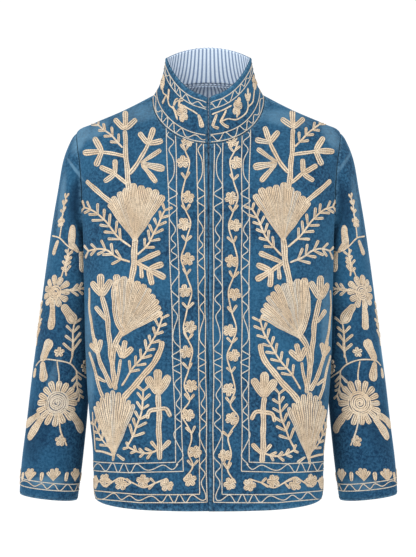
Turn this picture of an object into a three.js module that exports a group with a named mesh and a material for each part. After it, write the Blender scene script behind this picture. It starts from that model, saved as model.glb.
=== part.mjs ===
import * as THREE from 'three';

// Embroidered velvet jacket in the hollow shape in which it is worn, in millimetres.
// The wearer's front faces -Y, +X is to the viewer's right and +Z is up. The origin is the middle of the
// neck opening, level with the place where collar and shoulder seams meet.

const VELVET_WALL = 2; // velvet with the cotton lining quilted to it by the embroidery
const STRIPED_WALL = 1; // lining cloth that shows inside the collar and the back neck
const SEAM_GAP = 0.4;
const LINING_GAP = 0.35;
const OPENING_HALF_GAP = 0.7; // between the front edges where they only meet
const OVERLAP = 14; // how far the right front passes under the left one at the hem
const OVERLAP_TOP = -330;
const OVERLAP_GROWTH = 254; // height over which the overlap comes to its full width
const UNDERLAP_DEPTH = 2.7; // how far the right front's edge sinks to pass behind the left one
const UNDERLAP_WIDTH = 38;
const UNDERLAP_GROWTH = 100; // height over which it sinks, all of it above the overlap

const VELVET = { color: 0x2d5f8a, roughness: 0.85, metalness: 0 };
const STRIPED_COTTON = { color: 0xd3e0ee, roughness: 0.9, metalness: 0 };

const table = (columns, rows) =>
  rows.map((row) => Object.fromEntries(columns.map((column, place) => [column, row[place]])));

// Rings round the body from hem to neck. A ring is a rounded oval: half its width, the height at the sides, and
// the depth and height at centre front and centre back. Squareness 2 is an ellipse, and more is boxier. Tuck is how
// far the side is pressed in where the sleeve hangs, and roll above 1 rounds the shoulder's top. Steps are the mesh
// rows up to the next ring.
const BODY_RINGS = table(
  ['name', 'halfWidth', 'sideHeight', 'frontDepth', 'frontHeight', 'backDepth', 'backHeight',
    'squareness', 'tuck', 'roll', 'steps'],
  [
    ['hem', 193, -664, 127, -676, 119, -672, 2.7, 0, 1, 2],
    ['low hip', 197, -600, 128, -604, 120, -603, 2.8, 3, 1, 2],
    ['hip', 204, -535, 128, -537, 120, -536, 2.9, 13, 1, 2],
    ['waist', 209, -468, 127, -469, 119, -468, 3, 24, 1, 2],
    ['ribs', 212, -400, 127, -400, 118, -400, 3, 30, 1, 2],
    ['bust', 213, -335, 127, -336, 118, -335, 3, 34, 1, 2],
    ['side', 215, -275, 126, -278, 117, -276, 3, 36, 1, 2],
    ['armpit', 216, -232, 123, -241, 115, -234, 3, 35, 1, 0],
    ['chest', 219, -187, 119, -208, 112, -191, 2.9, 20, 1.1, 0],
    ['mid armhole', 222.5, -142, 114, -178, 109, -149, 2.7, 5, 1.2, 0],
    ['yoke', 226, -98, 108, -150, 105, -107, 2.4, 0, 1.35, 0],
    ['shoulder', 224, -52, 101, -127, 99, -62, 2.1, 0, 1.5, 2],
    ['outer shoulder', 196, -36, 95, -112, 91, -20, 2, 0, 1.5, 2],
    ['mid shoulder', 160, -20.5, 90, -100, 82, 8, 2, 0, 1.4, 2],
    ['inner shoulder', 124, -5.5, 85, -88, 72, 27, 2, 0, 1.2, 2],
    ['neck', 95, 6.5, 80, -77, 62, 38, 2, 0, 1, 0],
  ],
);
const levelOf = (name) => BODY_RINGS.findIndex((ring) => ring.name === name);
const HEM = levelOf('hem');
const ARMPIT = levelOf('armpit');
const SHOULDER = levelOf('shoulder');
const NECK = levelOf('neck');

// Rings of the standing collar above the neck ring, in the same columns.
const COLLAR_RINGS = [
  BODY_RINGS[NECK],
  ...table(
    ['name', 'halfWidth', 'sideHeight', 'frontDepth', 'frontHeight', 'backDepth', 'backHeight',
      'squareness', 'tuck', 'roll'],
    [
      ['low', 85, 25, 76.5, -57, 59, 54, 2, 0, 1.1],
      ['middle', 79, 42.5, 73, -37, 56, 70, 2, 0, 1.25],
      ['high', 75.2, 59.5, 69.5, -16, 53, 86, 2, 0, 1.4],
      ['top', 72.5, 76, 66, 4, 50, 101, 2, 0, 1.6],
    ],
  ),
];
const COLLAR_TOP = COLLAR_RINGS.length - 1;
const COLLAR_CORNER = { radius: 14, drop: 5 }; // rounded top corners at the opening
const COLLAR_LEVELS = [0, 0.6, 1.3, 2.1, 3.05, COLLAR_TOP];
const COLLAR_LINING_LEVELS = [0.25, 0.6, 1.3, 2.1, 3.05, 3.86];
const NECK_LINING = { levels: [-2, -1.5, -1, -0.5, -0.15], columns: 24 }; // rings below the neck ring

// The armhole is an oval on the body, from the armpit ring to the shoulder ring.
const ARMHOLE = { halfAngle: THREE.MathUtils.degToRad(26), squareness: 2.2, steps: 12 };
const ARM = { middle: 8, halfDepth: 66, firmness: 2.2, rounding: 0.15 }; // the hollow pressed into the side

// Rings down a sleeve, in the plane through their outer and inner ends: x and z of both ends, and the y of the
// front and the back. Seam share is how much of the armhole's own bow a ring still has.
const SLEEVE_RINGS = table(
  ['name', 'outerX', 'outerZ', 'innerX', 'innerZ', 'frontY', 'backY', 'seamShare', 'steps'],
  [
    ['armhole', 224, -52, 181, -232, -56, 58, 1, 1],
    ['crown', 234, -65, 190, -234, -56, 62, 0.85, 2],
    ['cap', 247, -99, 196, -239, -56, 66, 0.55, 2],
    ['high', 256, -150, 197, -250, -55, 69, 0.2, 2],
    ['biceps', 265.5, -205, 194, -268, -53, 70, 0, 2],
    ['upper', 274.5, -266, 191, -300, -50, 69, 0, 2],
    ['above elbow', 284, -335, 193, -354, -46, 67, 0, 2],
    ['elbow', 293, -405, 197, -418, -42, 64, 0, 2],
    ['forearm', 302, -475, 203, -485, -40, 59, 0, 2],
    ['low forearm', 309.5, -545, 208.5, -553, -40, 54, 0, 2],
    ['wrist', 316, -608, 215, -616, -41, 49, 0, 2],
    ['cuff', 320.5, -664, 222.5, -675, -42, 45, 0, 0],
  ],
);
const SLEEVE_ROUNDNESS = 2.15;

// The largest folds of the body: where each lies on the front (facing 1) or the back (facing -1), its half width and
// half length, how it leans from upright in degrees, and how far it stands out, or in if negative.
const BODY_FOLDS = table(
  ['name', 'x', 'z', 'facing', 'halfWidth', 'halfLength', 'lean', 'rise'],
  [
    ['left chest drape', 172, -178, 1, 19, 74, 14, 3.2],
    ['right chest drape', -176, -186, 1, 20, 66, -10, 2.6],
    ['left front fall', 118, -520, 1, 30, 150, 4, 3.4],
    ['right front fall', -126, -470, 1, 33, 165, -5, 3],
    ['left front hollow', 62, -560, 1, 26, 120, -3, -2.6],
    ['right front hollow', -70, -590, 1, 28, 105, 3, -2.8],
    ['left blade drape', 148, -205, -1, 22, 92, -18, 4],
    ['right blade drape', -154, -222, -1, 20, 80, 15, 3.4],
    ['left back fall', 84, -500, -1, 34, 170, 6, 4.2],
    ['right back fall', -96, -455, -1, 38, 185, -4, 3.8],
    ['middle back hollow', 6, -560, -1, 36, 150, 2, -4],
  ],
);

// The largest folds of a sleeve, placed by ring and by turn in degrees from the outer line towards the front.
const SLEEVE_FOLDS = table(
  ['name', 'level', 'turn', 'halfLevels', 'halfTurn', 'twist', 'rise'],
  [
    ['crown drape', 1.5, 62, 1.5, 20, 14, 2.4],
    ['rear crown drape', 1.8, -75, 1.6, 24, -12, 2.6],
    ['upper elbow crease', 6.1, 128, 0.42, 66, 0, -3.6],
    ['elbow ridge', 6.9, 118, 0.4, 60, 0, 2.6],
    ['lower elbow crease', 7.7, 132, 0.42, 62, 0, -3.4],
    ['rear elbow hollow', 7.1, -120, 0.7, 48, 0, -2.6],
    ['cuff fullness', 10.1, 40, 0.9, 70, 0, 1.8],
  ],
);

const FOLD_EDGE = 30; // depth over which body folds fade out towards the side seam
const FRONT_COLUMNS = 14;
const BACK_COLUMNS = 28;
const EDGE_CROWDING = 3; // how closely the mesh columns gather beside the armhole
const QUARTER = Math.PI / 2;

const mix = (from, to, share) => from + (to - from) * share;
const smooth = (share) => {
  const clamped = THREE.MathUtils.clamp(share, 0, 1);
  return clamped * clamped * (3 - 2 * clamped);
};
const signedPower = (value, power) => Math.sign(value) * Math.abs(value) ** power;

// Catmull-Rom curve through four numbers, between the middle two.
function curveThrough(before, from, to, after, share) {
  const slopeFrom = (to - before) / 2;
  const slopeTo = (after - from) / 2;
  const share2 = share * share;
  const share3 = share2 * share;
  return (2 * share3 - 3 * share2 + 1) * from + (share3 - 2 * share2 + share) * slopeFrom
    + (3 * share2 - 2 * share3) * to + (share3 - share2) * slopeTo;
}

// A ring between the rows of a table, every column on a smooth curve through its rows.
function ringAt(rings, level) {
  const last = rings.length - 1;
  const start = Math.min(Math.max(Math.floor(level), 0), last - 1);
  const rows = [-1, 0, 1, 2].map((step) => rings[Math.min(Math.max(start + step, 0), last)]);
  const ring = {};
  for (const column of Object.keys(rings[start])) {
    if (column === 'name' || column === 'steps') continue;
    ring[column] = curveThrough(...rows.map((row) => row[column]), level - start);
  }
  return ring;
}

// How much of the tuck applies at a depth: 1 where the arm hangs, falling to 0 in front of it and behind it.
function hollow(y) {
  const nearness = 1 - Math.abs((y - ARM.middle) / ARM.halfDepth) ** ARM.firmness;
  if (nearness <= 0) return 0;
  return nearness ** 2 / (nearness + ARM.rounding) * (1 + ARM.rounding);
}

const bump = (across, along) => Math.exp(-(across ** 2) - along ** 2);

// How far the body's folds move the cloth outwards at a point.
function bodyFoldRise(point) {
  let rise = 0;
  for (const fold of BODY_FOLDS) {
    if (fold.facing * point.y > 0) continue;
    const lean = THREE.MathUtils.degToRad(fold.lean);
    const across = (point.x - fold.x) * Math.cos(lean) - (point.z - fold.z) * Math.sin(lean);
    const along = (point.x - fold.x) * Math.sin(lean) + (point.z - fold.z) * Math.cos(lean);
    const onFace = Math.min(Math.abs(point.y) / FOLD_EDGE, 1);
    rise += fold.rise * onFace * bump(across / fold.halfWidth, along / fold.halfLength);
  }
  return rise;
}

// Point of a ring at an angle from centre front, counted towards +X.
function ringPoint(ring, angle) {
  const along = Math.cos(angle);
  const across = Math.sin(angle);
  const power = ring.squareness;
  const reach = (Math.abs(along) ** power + Math.abs(across) ** power) ** (-1 / power);
  const depth = along > 0 ? ring.frontDepth : ring.backDepth;
  const endHeight = along > 0 ? ring.frontHeight : ring.backHeight;
  const y = -along * reach * depth;
  const x = across * reach * ring.halfWidth - Math.sign(across) * ring.tuck * hollow(y);
  const share = Math.min(Math.abs(along) * reach, 1);
  return new THREE.Vector3(x, y, mix(ring.sideHeight, endHeight, share ** ring.roll));
}

function bodyPoint(level, angle) {
  const ring = ringAt(BODY_RINGS, level);
  const point = ringPoint(ring, angle);
  const outward = new THREE.Vector3(point.x / ring.halfWidth, point.y / ring.frontDepth, 0).normalize();
  return point.addScaledVector(outward, bodyFoldRise(point));
}

// The collar, with the top corners at the opening rounded off.
function collarPoint(level, angle) {
  const point = ringPoint(ringAt(COLLAR_RINGS, level), angle);
  const share = Math.cos(angle) > 0 ? 1 - Math.min(Math.abs(point.x) / COLLAR_CORNER.radius, 1) : 0;
  point.z -= COLLAR_CORNER.drop * share ** 2 * level / COLLAR_TOP;
  return point;
}

// Angle of the armhole's edge from the side seam at a turn round it: 0 at the shoulder, a quarter in front.
function armholePlace(turn) {
  const up = Math.cos(turn);
  const power = ARMHOLE.squareness;
  const width = (1 - Math.abs(up) ** power) ** (1 / power);
  return {
    level: mix(ARMPIT, SHOULDER, (1 + up) / 2),
    angle: QUARTER - Math.sign(Math.sin(turn)) * ARMHOLE.halfAngle * width,
  };
}

function armholePoint(turn) {
  const { level, angle } = armholePlace(turn);
  return bodyPoint(level, angle);
}

function sleeveOval(ring, turn) {
  const out = Math.cos(turn);
  const forward = Math.sin(turn);
  const reach = (Math.abs(out) ** SLEEVE_ROUNDNESS + Math.abs(forward) ** SLEEVE_ROUNDNESS)
    ** (-1 / SLEEVE_ROUNDNESS);
  const outwards = (1 + out * reach) / 2;
  return new THREE.Vector3(
    mix(ring.innerX, ring.outerX, outwards),
    mix(ring.backY, ring.frontY, (1 + forward * reach) / 2),
    mix(ring.innerZ, ring.outerZ, outwards),
  );
}

// How far the sleeve's folds move the cloth outwards. They begin a little below the armhole.
function sleeveFoldRise(level, turn) {
  let rise = 0;
  for (const fold of SLEEVE_FOLDS) {
    const down = level - fold.level;
    const away = THREE.MathUtils.radToDeg(turn) - fold.turn - fold.twist * down;
    const around = THREE.MathUtils.euclideanModulo(away + 180, 360) - 180;
    rise += fold.rise * bump(down / fold.halfLevels, around / fold.halfTurn);
  }
  return rise * smooth(level);
}

// The left sleeve: each ring keeps a share of the difference between the armhole and a plain oval.
function sleevePoint(level, turn) {
  const bow = armholePoint(turn).sub(sleeveOval(SLEEVE_RINGS[0], turn));
  const ring = ringAt(SLEEVE_RINGS, level);
  const middle = sleeveOval(ring, 0).add(sleeveOval(ring, Math.PI)).multiplyScalar(0.5);
  const point = sleeveOval(ring, turn);
  const outward = point.clone().sub(middle).normalize();
  return point.addScaledVector(bow, ring.seamShare).addScaledVector(outward, sleeveFoldRise(level, turn));
}

// Outward normal and the two directions of a surface at a place, from small steps on it. The sides say which steps
// stay on the surface: -1 only back, 1 only on, 0 both.
function directionsAt(surface, first, second, firstSide = 0) {
  const step = 1e-3;
  const back = firstSide > 0 ? 0 : step;
  const on = firstSide < 0 ? 0 : step;
  const along = surface(first + on, second).sub(surface(first - back, second)).normalize();
  const around = surface(first, second + step).sub(surface(first, second - step)).normalize();
  const normal = new THREE.Vector3().crossVectors(around, along).normalize();
  return { along, around, normal };
}

const bodyDirections = (level, angle, side = 0) => directionsAt(bodyPoint, level, angle, side);
const collarDirections = (level, angle, side = 0) => directionsAt(collarPoint, level, angle, side);
const sleeveDirections = (level, turn, side = 0) => directionsAt(sleevePoint, level, turn, side);

// Where two walls meet at a seam, both end in the plane between them: the mitre points out of the cloth along that
// plane, and the parting points square to it, towards the second wall.
function mitreOf(firstNormal, secondNormal, seamDirection, towards) {
  const mitre = firstNormal.clone().add(secondNormal).normalize();
  mitre.addScaledVector(seamDirection, -mitre.dot(seamDirection)).normalize();
  const parting = new THREE.Vector3().crossVectors(mitre, seamDirection).normalize();
  if (parting.dot(towards) < 0) parting.negate();
  const stretch = Math.min(1 / Math.max(mitre.dot(firstNormal), 0.1), 1.35);
  return { mitre, parting, stretch };
}

function armholeMitre(turn) {
  const { level, angle } = armholePlace(turn);
  const sleeve = sleeveDirections(0, turn, 1);
  return mitreOf(bodyDirections(level, angle).normal, sleeve.normal, sleeve.around, sleeve.along);
}

function neckMitre(angle) {
  const body = bodyDirections(NECK, angle, -1);
  const collar = collarDirections(0, angle, 1);
  return mitreOf(body.normal, collar.normal, collar.around, collar.along);
}

// The outer and inner points of a wall at a place: square to its surface, or along the mitre at a seam.
function squareWall(point, normal, thickness, depth = 0) {
  return {
    outer: point.clone().addScaledVector(normal, -depth),
    inner: point.clone().addScaledVector(normal, -depth - thickness),
  };
}

function mitredWall(point, seam, side) {
  const outer = point.clone().addScaledVector(seam.parting, side * SEAM_GAP / 2);
  return { outer, inner: outer.clone().addScaledVector(seam.mitre, -seam.stretch * VELVET_WALL) };
}

function shifted(place, direction, distance) {
  place.outer.addScaledVector(direction, distance);
  place.inner.addScaledVector(direction, distance);
  return place;
}

function mirrored(place, side) {
  place.outer.x *= side;
  place.inner.x *= side;
  return place;
}

// Closed wall between a grid of outer points and the grid of inner points behind it.
function wallGeometry(grid, closedAround = false) {
  const rows = grid.length;
  const columns = grid[0].length;
  const positions = [];
  for (const face of ['outer', 'inner']) {
    for (const row of grid) row.forEach((place) => positions.push(...place[face].toArray()));
  }
  const vertex = (face, row, column) => (face * rows + row) * columns + (column % columns);
  const triangles = [];
  const corner = (index) => new THREE.Vector3().fromArray(positions, 3 * index);
  const quad = (a, b, c, d) => {
    const straight = corner(a).distanceTo(corner(c)) <= corner(b).distanceTo(corner(d));
    triangles.push(...(straight ? [a, b, c, a, c, d] : [a, b, d, b, c, d]));
  };
  const spans = closedAround ? columns : columns - 1;
  for (let row = 0; row < rows - 1; row += 1) {
    for (let column = 0; column < spans; column += 1) {
      const next = column + 1;
      quad(vertex(0, row, column), vertex(0, row, next), vertex(0, row + 1, next), vertex(0, row + 1, column));
      quad(vertex(1, row, column), vertex(1, row + 1, column), vertex(1, row + 1, next), vertex(1, row, next));
    }
  }
  for (let column = 0; column < spans; column += 1) {
    const next = column + 1;
    const end = rows - 1;
    quad(vertex(0, 0, column), vertex(1, 0, column), vertex(1, 0, next), vertex(0, 0, next));
    quad(vertex(0, end, column), vertex(0, end, next), vertex(1, end, next), vertex(1, end, column));
  }
  if (!closedAround) {
    for (let row = 0; row < rows - 1; row += 1) {
      const end = columns - 1;
      quad(vertex(0, row, 0), vertex(0, row + 1, 0), vertex(1, row + 1, 0), vertex(1, row, 0));
      quad(vertex(0, row, end), vertex(1, row, end), vertex(1, row + 1, end), vertex(0, row + 1, end));
    }
  }
  const geometry = new THREE.BufferGeometry();
  geometry.setAttribute('position', new THREE.Float32BufferAttribute(positions, 3));
  geometry.setIndex(facingOut(positions, triangles));
  geometry.computeVertexNormals();
  return geometry;
}

// Triangles of a closed mesh turned round together if they enclose a negative volume.
function facingOut(positions, triangles) {
  const corner = (index) => new THREE.Vector3().fromArray(positions, 3 * index);
  let volume = 0;
  for (let start = 0; start < triangles.length; start += 3) {
    const [a, b, c] = triangles.slice(start, start + 3).map(corner);
    volume += a.dot(b.cross(c));
  }
  return volume < 0 ? triangles.reverse() : triangles;
}

function piece(name, geometry, material) {
  const mesh = new THREE.Mesh(geometry, new THREE.MeshStandardMaterial(material));
  mesh.name = name;
  return mesh;
}

// Mesh rows of the body from hem to neck. Those beside the armhole also have their turn round it.
function bodyRows() {
  const rows = [];
  for (let level = HEM; level < NECK; level += 1) {
    const { steps } = BODY_RINGS[level];
    for (let step = 0; step < steps && level !== SHOULDER; step += 1) rows.push({ level: level + step / steps });
    if (level === ARMPIT) {
      for (let step = 0; step <= ARMHOLE.steps; step += 1) {
        const turn = Math.PI * (1 - step / ARMHOLE.steps);
        rows.push({ level: armholePlace(turn).level, turn });
      }
    }
    for (let step = 1; step < steps && level === SHOULDER; step += 1) rows.push({ level: level + step / steps });
  }
  return [...rows, { level: NECK }];
}

// One place on a body panel, on the wearer's left. Half is 1 on a front and -1 on the back.
function bodyPlace(row, angle, half, atEdge, surface = bodyPoint) {
  const point = surface(row.level, angle);
  const { around, normal } = bodyDirections(row.level, angle, row.level === NECK ? -1 : 0);
  let place = squareWall(point, normal, VELVET_WALL);
  if (row.level === NECK) place = mitredWall(point, neckMitre(angle), -1);
  if (atEdge && row.turn !== undefined) place = mitredWall(point, armholeMitre(half * row.turn), -1);
  const besideSeam = row.turn === undefined || row.turn === 0 || row.turn === Math.PI;
  return atEdge && besideSeam ? shifted(place, around, -half * SEAM_GAP / 2) : place;
}

// Angle at which a front's opening edge lies. Below the waist the right front reaches past the middle.
function openingAngle(side, row) {
  const ring = ringAt(BODY_RINGS, row.level);
  const reach = side < 0 ? OVERLAP * smooth((OVERLAP_TOP - ring.frontHeight) / OVERLAP_GROWTH) : 0;
  return Math.asin((OPENING_HALF_GAP - reach) / ring.halfWidth);
}

// The right front's surface: where the left front covers it, it sinks behind.
function underlappingPoint(level, angle) {
  const point = bodyPoint(level, angle);
  const low = smooth((OVERLAP_TOP + UNDERLAP_GROWTH - point.z) / UNDERLAP_GROWTH);
  const near = Math.cos(angle) > 0 ? smooth(1 - point.x / UNDERLAP_WIDTH) : 0;
  point.y += UNDERLAP_DEPTH * low * near;
  return point;
}

function frontPanel(side) {
  const surface = side < 0 ? underlappingPoint : bodyPoint;
  const grid = bodyRows().map((row) => {
    const start = openingAngle(side, row);
    const end = row.turn === undefined ? QUARTER : armholePlace(row.turn).angle;
    return Array.from({ length: FRONT_COLUMNS + 1 }, (_, column) => {
      const share = column / FRONT_COLUMNS;
      const angle = mix(start, QUARTER, share) + (end - QUARTER) * share ** EDGE_CROWDING;
      return mirrored(bodyPlace(row, angle, 1, column === FRONT_COLUMNS, surface), side);
    });
  });
  return wallGeometry(grid);
}

function backPanel() {
  const grid = bodyRows().map((row) => {
    const end = row.turn === undefined ? QUARTER : armholePlace(-row.turn).angle;
    return Array.from({ length: BACK_COLUMNS + 1 }, (_, column) => {
      const across = 1 - 2 * column / BACK_COLUMNS;
      const side = across < 0 ? -1 : 1;
      const share = Math.abs(across);
      const angle = mix(Math.PI, QUARTER, share) + (end - QUARTER) * share ** EDGE_CROWDING;
      return mirrored(bodyPlace(row, angle, -1, Math.abs(across) === 1), side);
    });
  });
  return wallGeometry(grid);
}

function sleeve(side) {
  const levels = SLEEVE_RINGS.flatMap(({ steps }, level) => {
    return Array.from({ length: steps }, (_, step) => level + step / steps);
  });
  levels.push(SLEEVE_RINGS.length - 1);
  const columns = 2 * ARMHOLE.steps;
  const grid = levels.map((level) => Array.from({ length: columns }, (_, column) => {
    const turn = Math.PI * (1 - column / ARMHOLE.steps);
    const point = sleevePoint(level, turn);
    if (level === 0) return mirrored(mitredWall(point, armholeMitre(turn), 1), side);
    const end = level === SLEEVE_RINGS.length - 1 ? -1 : 0;
    return mirrored(squareWall(point, sleeveDirections(level, turn, end).normal, VELVET_WALL), side);
  }));
  return wallGeometry(grid, true);
}

// Angles round the neck from opening edge to opening edge, at the same places as the panels' top row.
function neckAngles() {
  const start = Math.asin(OPENING_HALF_GAP / BODY_RINGS[NECK].halfWidth);
  const quarter = (from, columns) => Array.from({ length: columns }, (_, column) => {
    return mix(from, QUARTER, column / columns);
  });
  const left = quarter(start, FRONT_COLUMNS);
  const behind = Array.from({ length: BACK_COLUMNS + 1 }, (_, column) => {
    return QUARTER + Math.PI * column / BACK_COLUMNS;
  });
  return [...left, ...behind, ...left.map((angle) => 2 * Math.PI - angle).reverse()];
}

function collar() {
  const grid = COLLAR_LEVELS.map((level) => neckAngles().map((angle) => {
    const point = collarPoint(level, angle);
    if (level === 0) return mitredWall(point, neckMitre(angle), 1);
    const end = level === COLLAR_TOP ? -1 : 0;
    return squareWall(point, collarDirections(level, angle, end).normal, VELVET_WALL);
  }));
  return wallGeometry(grid);
}

// A lining lies on the inner side of a velvet wall, with the sewing gap between.
function liningPlace(point, normal) {
  return squareWall(point, normal, STRIPED_WALL, VELVET_WALL + LINING_GAP);
}

function collarLining() {
  const angles = neckAngles().slice(1, -1);
  const grid = COLLAR_LINING_LEVELS.map((level) => angles.map((angle) => {
    return liningPlace(collarPoint(level, angle), collarDirections(level, angle).normal);
  }));
  return wallGeometry(grid);
}

function backNeckLining() {
  const { levels, columns } = NECK_LINING;
  const grid = levels.map((below) => Array.from({ length: columns + 1 }, (_, column) => {
    const angle = Math.PI * (1 + (column - columns / 2) / BACK_COLUMNS);
    return liningPlace(bodyPoint(NECK + below, angle), bodyDirections(NECK + below, angle).normal);
  }));
  return wallGeometry(grid);
}

const jacket = new THREE.Group();
jacket.add(
  piece('front_right', frontPanel(-1), VELVET),
  piece('front_left', frontPanel(1), VELVET),
  piece('back', backPanel(), VELVET),
  piece('sleeve_right', sleeve(-1), VELVET),
  piece('sleeve_left', sleeve(1), VELVET),
  piece('collar', collar(), VELVET),
  piece('collar_lining', collarLining(), STRIPED_COTTON),
  piece('back_neck_lining', backNeckLining(), STRIPED_COTTON),
);

export default jacket;
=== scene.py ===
import math

import bpy
import numpy as np
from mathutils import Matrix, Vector
from mathutils.bvhtree import BVHTree


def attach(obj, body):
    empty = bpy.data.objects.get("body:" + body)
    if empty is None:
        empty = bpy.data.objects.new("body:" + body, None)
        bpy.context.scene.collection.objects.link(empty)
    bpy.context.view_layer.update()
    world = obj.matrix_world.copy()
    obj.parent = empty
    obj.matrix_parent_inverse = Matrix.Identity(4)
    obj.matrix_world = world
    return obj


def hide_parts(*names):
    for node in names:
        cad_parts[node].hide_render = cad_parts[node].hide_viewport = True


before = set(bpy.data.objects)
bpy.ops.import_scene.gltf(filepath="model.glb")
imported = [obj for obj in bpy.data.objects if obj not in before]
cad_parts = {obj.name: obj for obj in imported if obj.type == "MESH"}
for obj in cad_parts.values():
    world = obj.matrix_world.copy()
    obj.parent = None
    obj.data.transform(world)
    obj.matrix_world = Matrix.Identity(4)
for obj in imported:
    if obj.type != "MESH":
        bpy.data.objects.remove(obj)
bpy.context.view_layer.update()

# The velvet: a short pile in deep blue that is lighter where it is brushed and turns pale where it is seen at a
# slant, with painted highlights and painted shade on it. It and the striped lining are the cloths of every piece
# below.

MM = 0.001


class Number:
    """A value in a material. Arithmetic on it adds Math nodes."""

    def __init__(self, graph, socket):
        self.graph = graph
        self.socket = socket

    def math(self, operation, first, second=0.0):
        node = self.graph.node("ShaderNodeMath", {"operation": operation}, {0: first, 1: second})
        return Number(self.graph, node.outputs[0])

    def __add__(self, other):
        return self.math("ADD", self, other)

    def __sub__(self, other):
        return self.math("SUBTRACT", self, other)

    def __rsub__(self, other):
        return self.math("SUBTRACT", other, self)

    def __mul__(self, other):
        return self.math("MULTIPLY", self, other)

    def __truediv__(self, other):
        return self.math("DIVIDE", self, other)

    def __pow__(self, other):
        return self.math("POWER", self, other)

    __radd__ = __add__
    __rmul__ = __mul__

    def step(self, low, high):
        """0 below low and 1 above high, with a soft passage between."""
        settings = {"interpolation_type": "SMOOTHSTEP"}
        node = self.graph.node("ShaderNodeMapRange", settings, {0: self, 1: low, 2: high, 3: 0.0, 4: 1.0})
        return Number(self.graph, node.outputs[0])

    def fraction(self):
        return self.math("FRACT", self)


class Graph:
    """A new material's nodes, ending in one Principled shader."""

    def __init__(self, name):
        self.material = bpy.data.materials.new(name)
        self.material.use_nodes = True
        self.tree = self.material.node_tree
        self.shader = self.tree.nodes["Principled BSDF"]

    def fill(self, node, sockets):
        for key, value in sockets.items():
            if isinstance(value, Number):
                value = value.socket
            if isinstance(value, bpy.types.NodeSocket):
                self.tree.links.new(value, node.inputs[key])
            else:
                node.inputs[key].default_value = value

    def node(self, kind, settings, sockets):
        node = self.tree.nodes.new(kind)
        for key, value in settings.items():
            setattr(node, key, value)
        self.fill(node, sockets)
        return node

    def coordinate(self, name):
        return self.node("ShaderNodeTexCoord", {}, {}).outputs[name]

    def attribute(self, name):
        return Number(self, self.node("ShaderNodeAttribute", {"attribute_name": name}, {}).outputs[2])

    def parts(self, vector):
        return [Number(self, part) for part in self.node("ShaderNodeSeparateXYZ", {}, {0: vector}).outputs]

    def noise(self, place, scale, detail=2.0, roughness=0.5):
        sockets = {"Vector": place, "Scale": scale, "Detail": detail, "Roughness": roughness}
        return Number(self, self.node("ShaderNodeTexNoise", {}, sockets).outputs[0])

    def mix(self, factor, first, second):
        return self.node("ShaderNodeMix", {"data_type": "RGBA"}, {0: factor, 6: first, 7: second}).outputs[2]

    def bump(self, height, strength, distance):
        sockets = {"Height": height, "Strength": strength, "Distance": distance}
        return self.node("ShaderNodeBump", {}, sockets).outputs[0]


def colour(red, green, blue):
    """A shader colour from the 0 to 255 numbers of a colour picker."""
    picked = np.array([red, green, blue]) / 255
    linear = np.where(picked > 0.04045, ((picked + 0.055) / 1.055) ** 2.4, picked / 12.92)
    return (*linear.tolist(), 1.0)


# Painted highlights on the velvet, pale, and painted shade, dark for a negative amount: the patch's middle across
# and up, its half width and half height in metres, its lean, which is a share of the way up, and the amount.
PAINTED_LIGHT_PATCHES = (
    (-0.216, -0.064, 0.016, 0.034, 0.3, 0.42),
    (-0.188, -0.050, 0.020, 0.024, 0.6, 0.36),
    (-0.223, -0.117, 0.0045, 0.026, -0.75, 0.42),
    (-0.246, -0.175, 0.008, 0.066, 0.1, 0.4),
    (-0.222, -0.170, 0.014, 0.055, 0.1, -0.7),
    (0.206, -0.060, 0.018, 0.032, -0.4, 0.4),
    (0.228, -0.105, 0.005, 0.028, 0.7, 0.36),
    (0.247, -0.185, 0.008, 0.070, -0.1, 0.38),
    (0.226, -0.180, 0.014, 0.060, -0.1, -0.6),
    (-0.120, -0.022, 0.050, 0.024, 0.8, 0.3),
    (0.130, -0.030, 0.050, 0.022, -0.8, 0.26),
    (-0.196, -0.430, 0.012, 0.120, 0.0, 0.3),
    (0.194, -0.400, 0.012, 0.130, 0.0, 0.26),
    (-0.290, -0.560, 0.030, 0.060, 0.2, -0.4),
    (0.285, -0.545, 0.030, 0.065, -0.2, -0.4),
    (-0.262, -0.470, 0.010, 0.060, 0.3, 0.26),
    (0.300, -0.440, 0.010, 0.070, -0.2, 0.28),
    (-0.268, -0.640, 0.040, 0.014, 0.5, 0.3),
    (0.262, -0.645, 0.040, 0.014, -0.5, 0.26),
)


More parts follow.
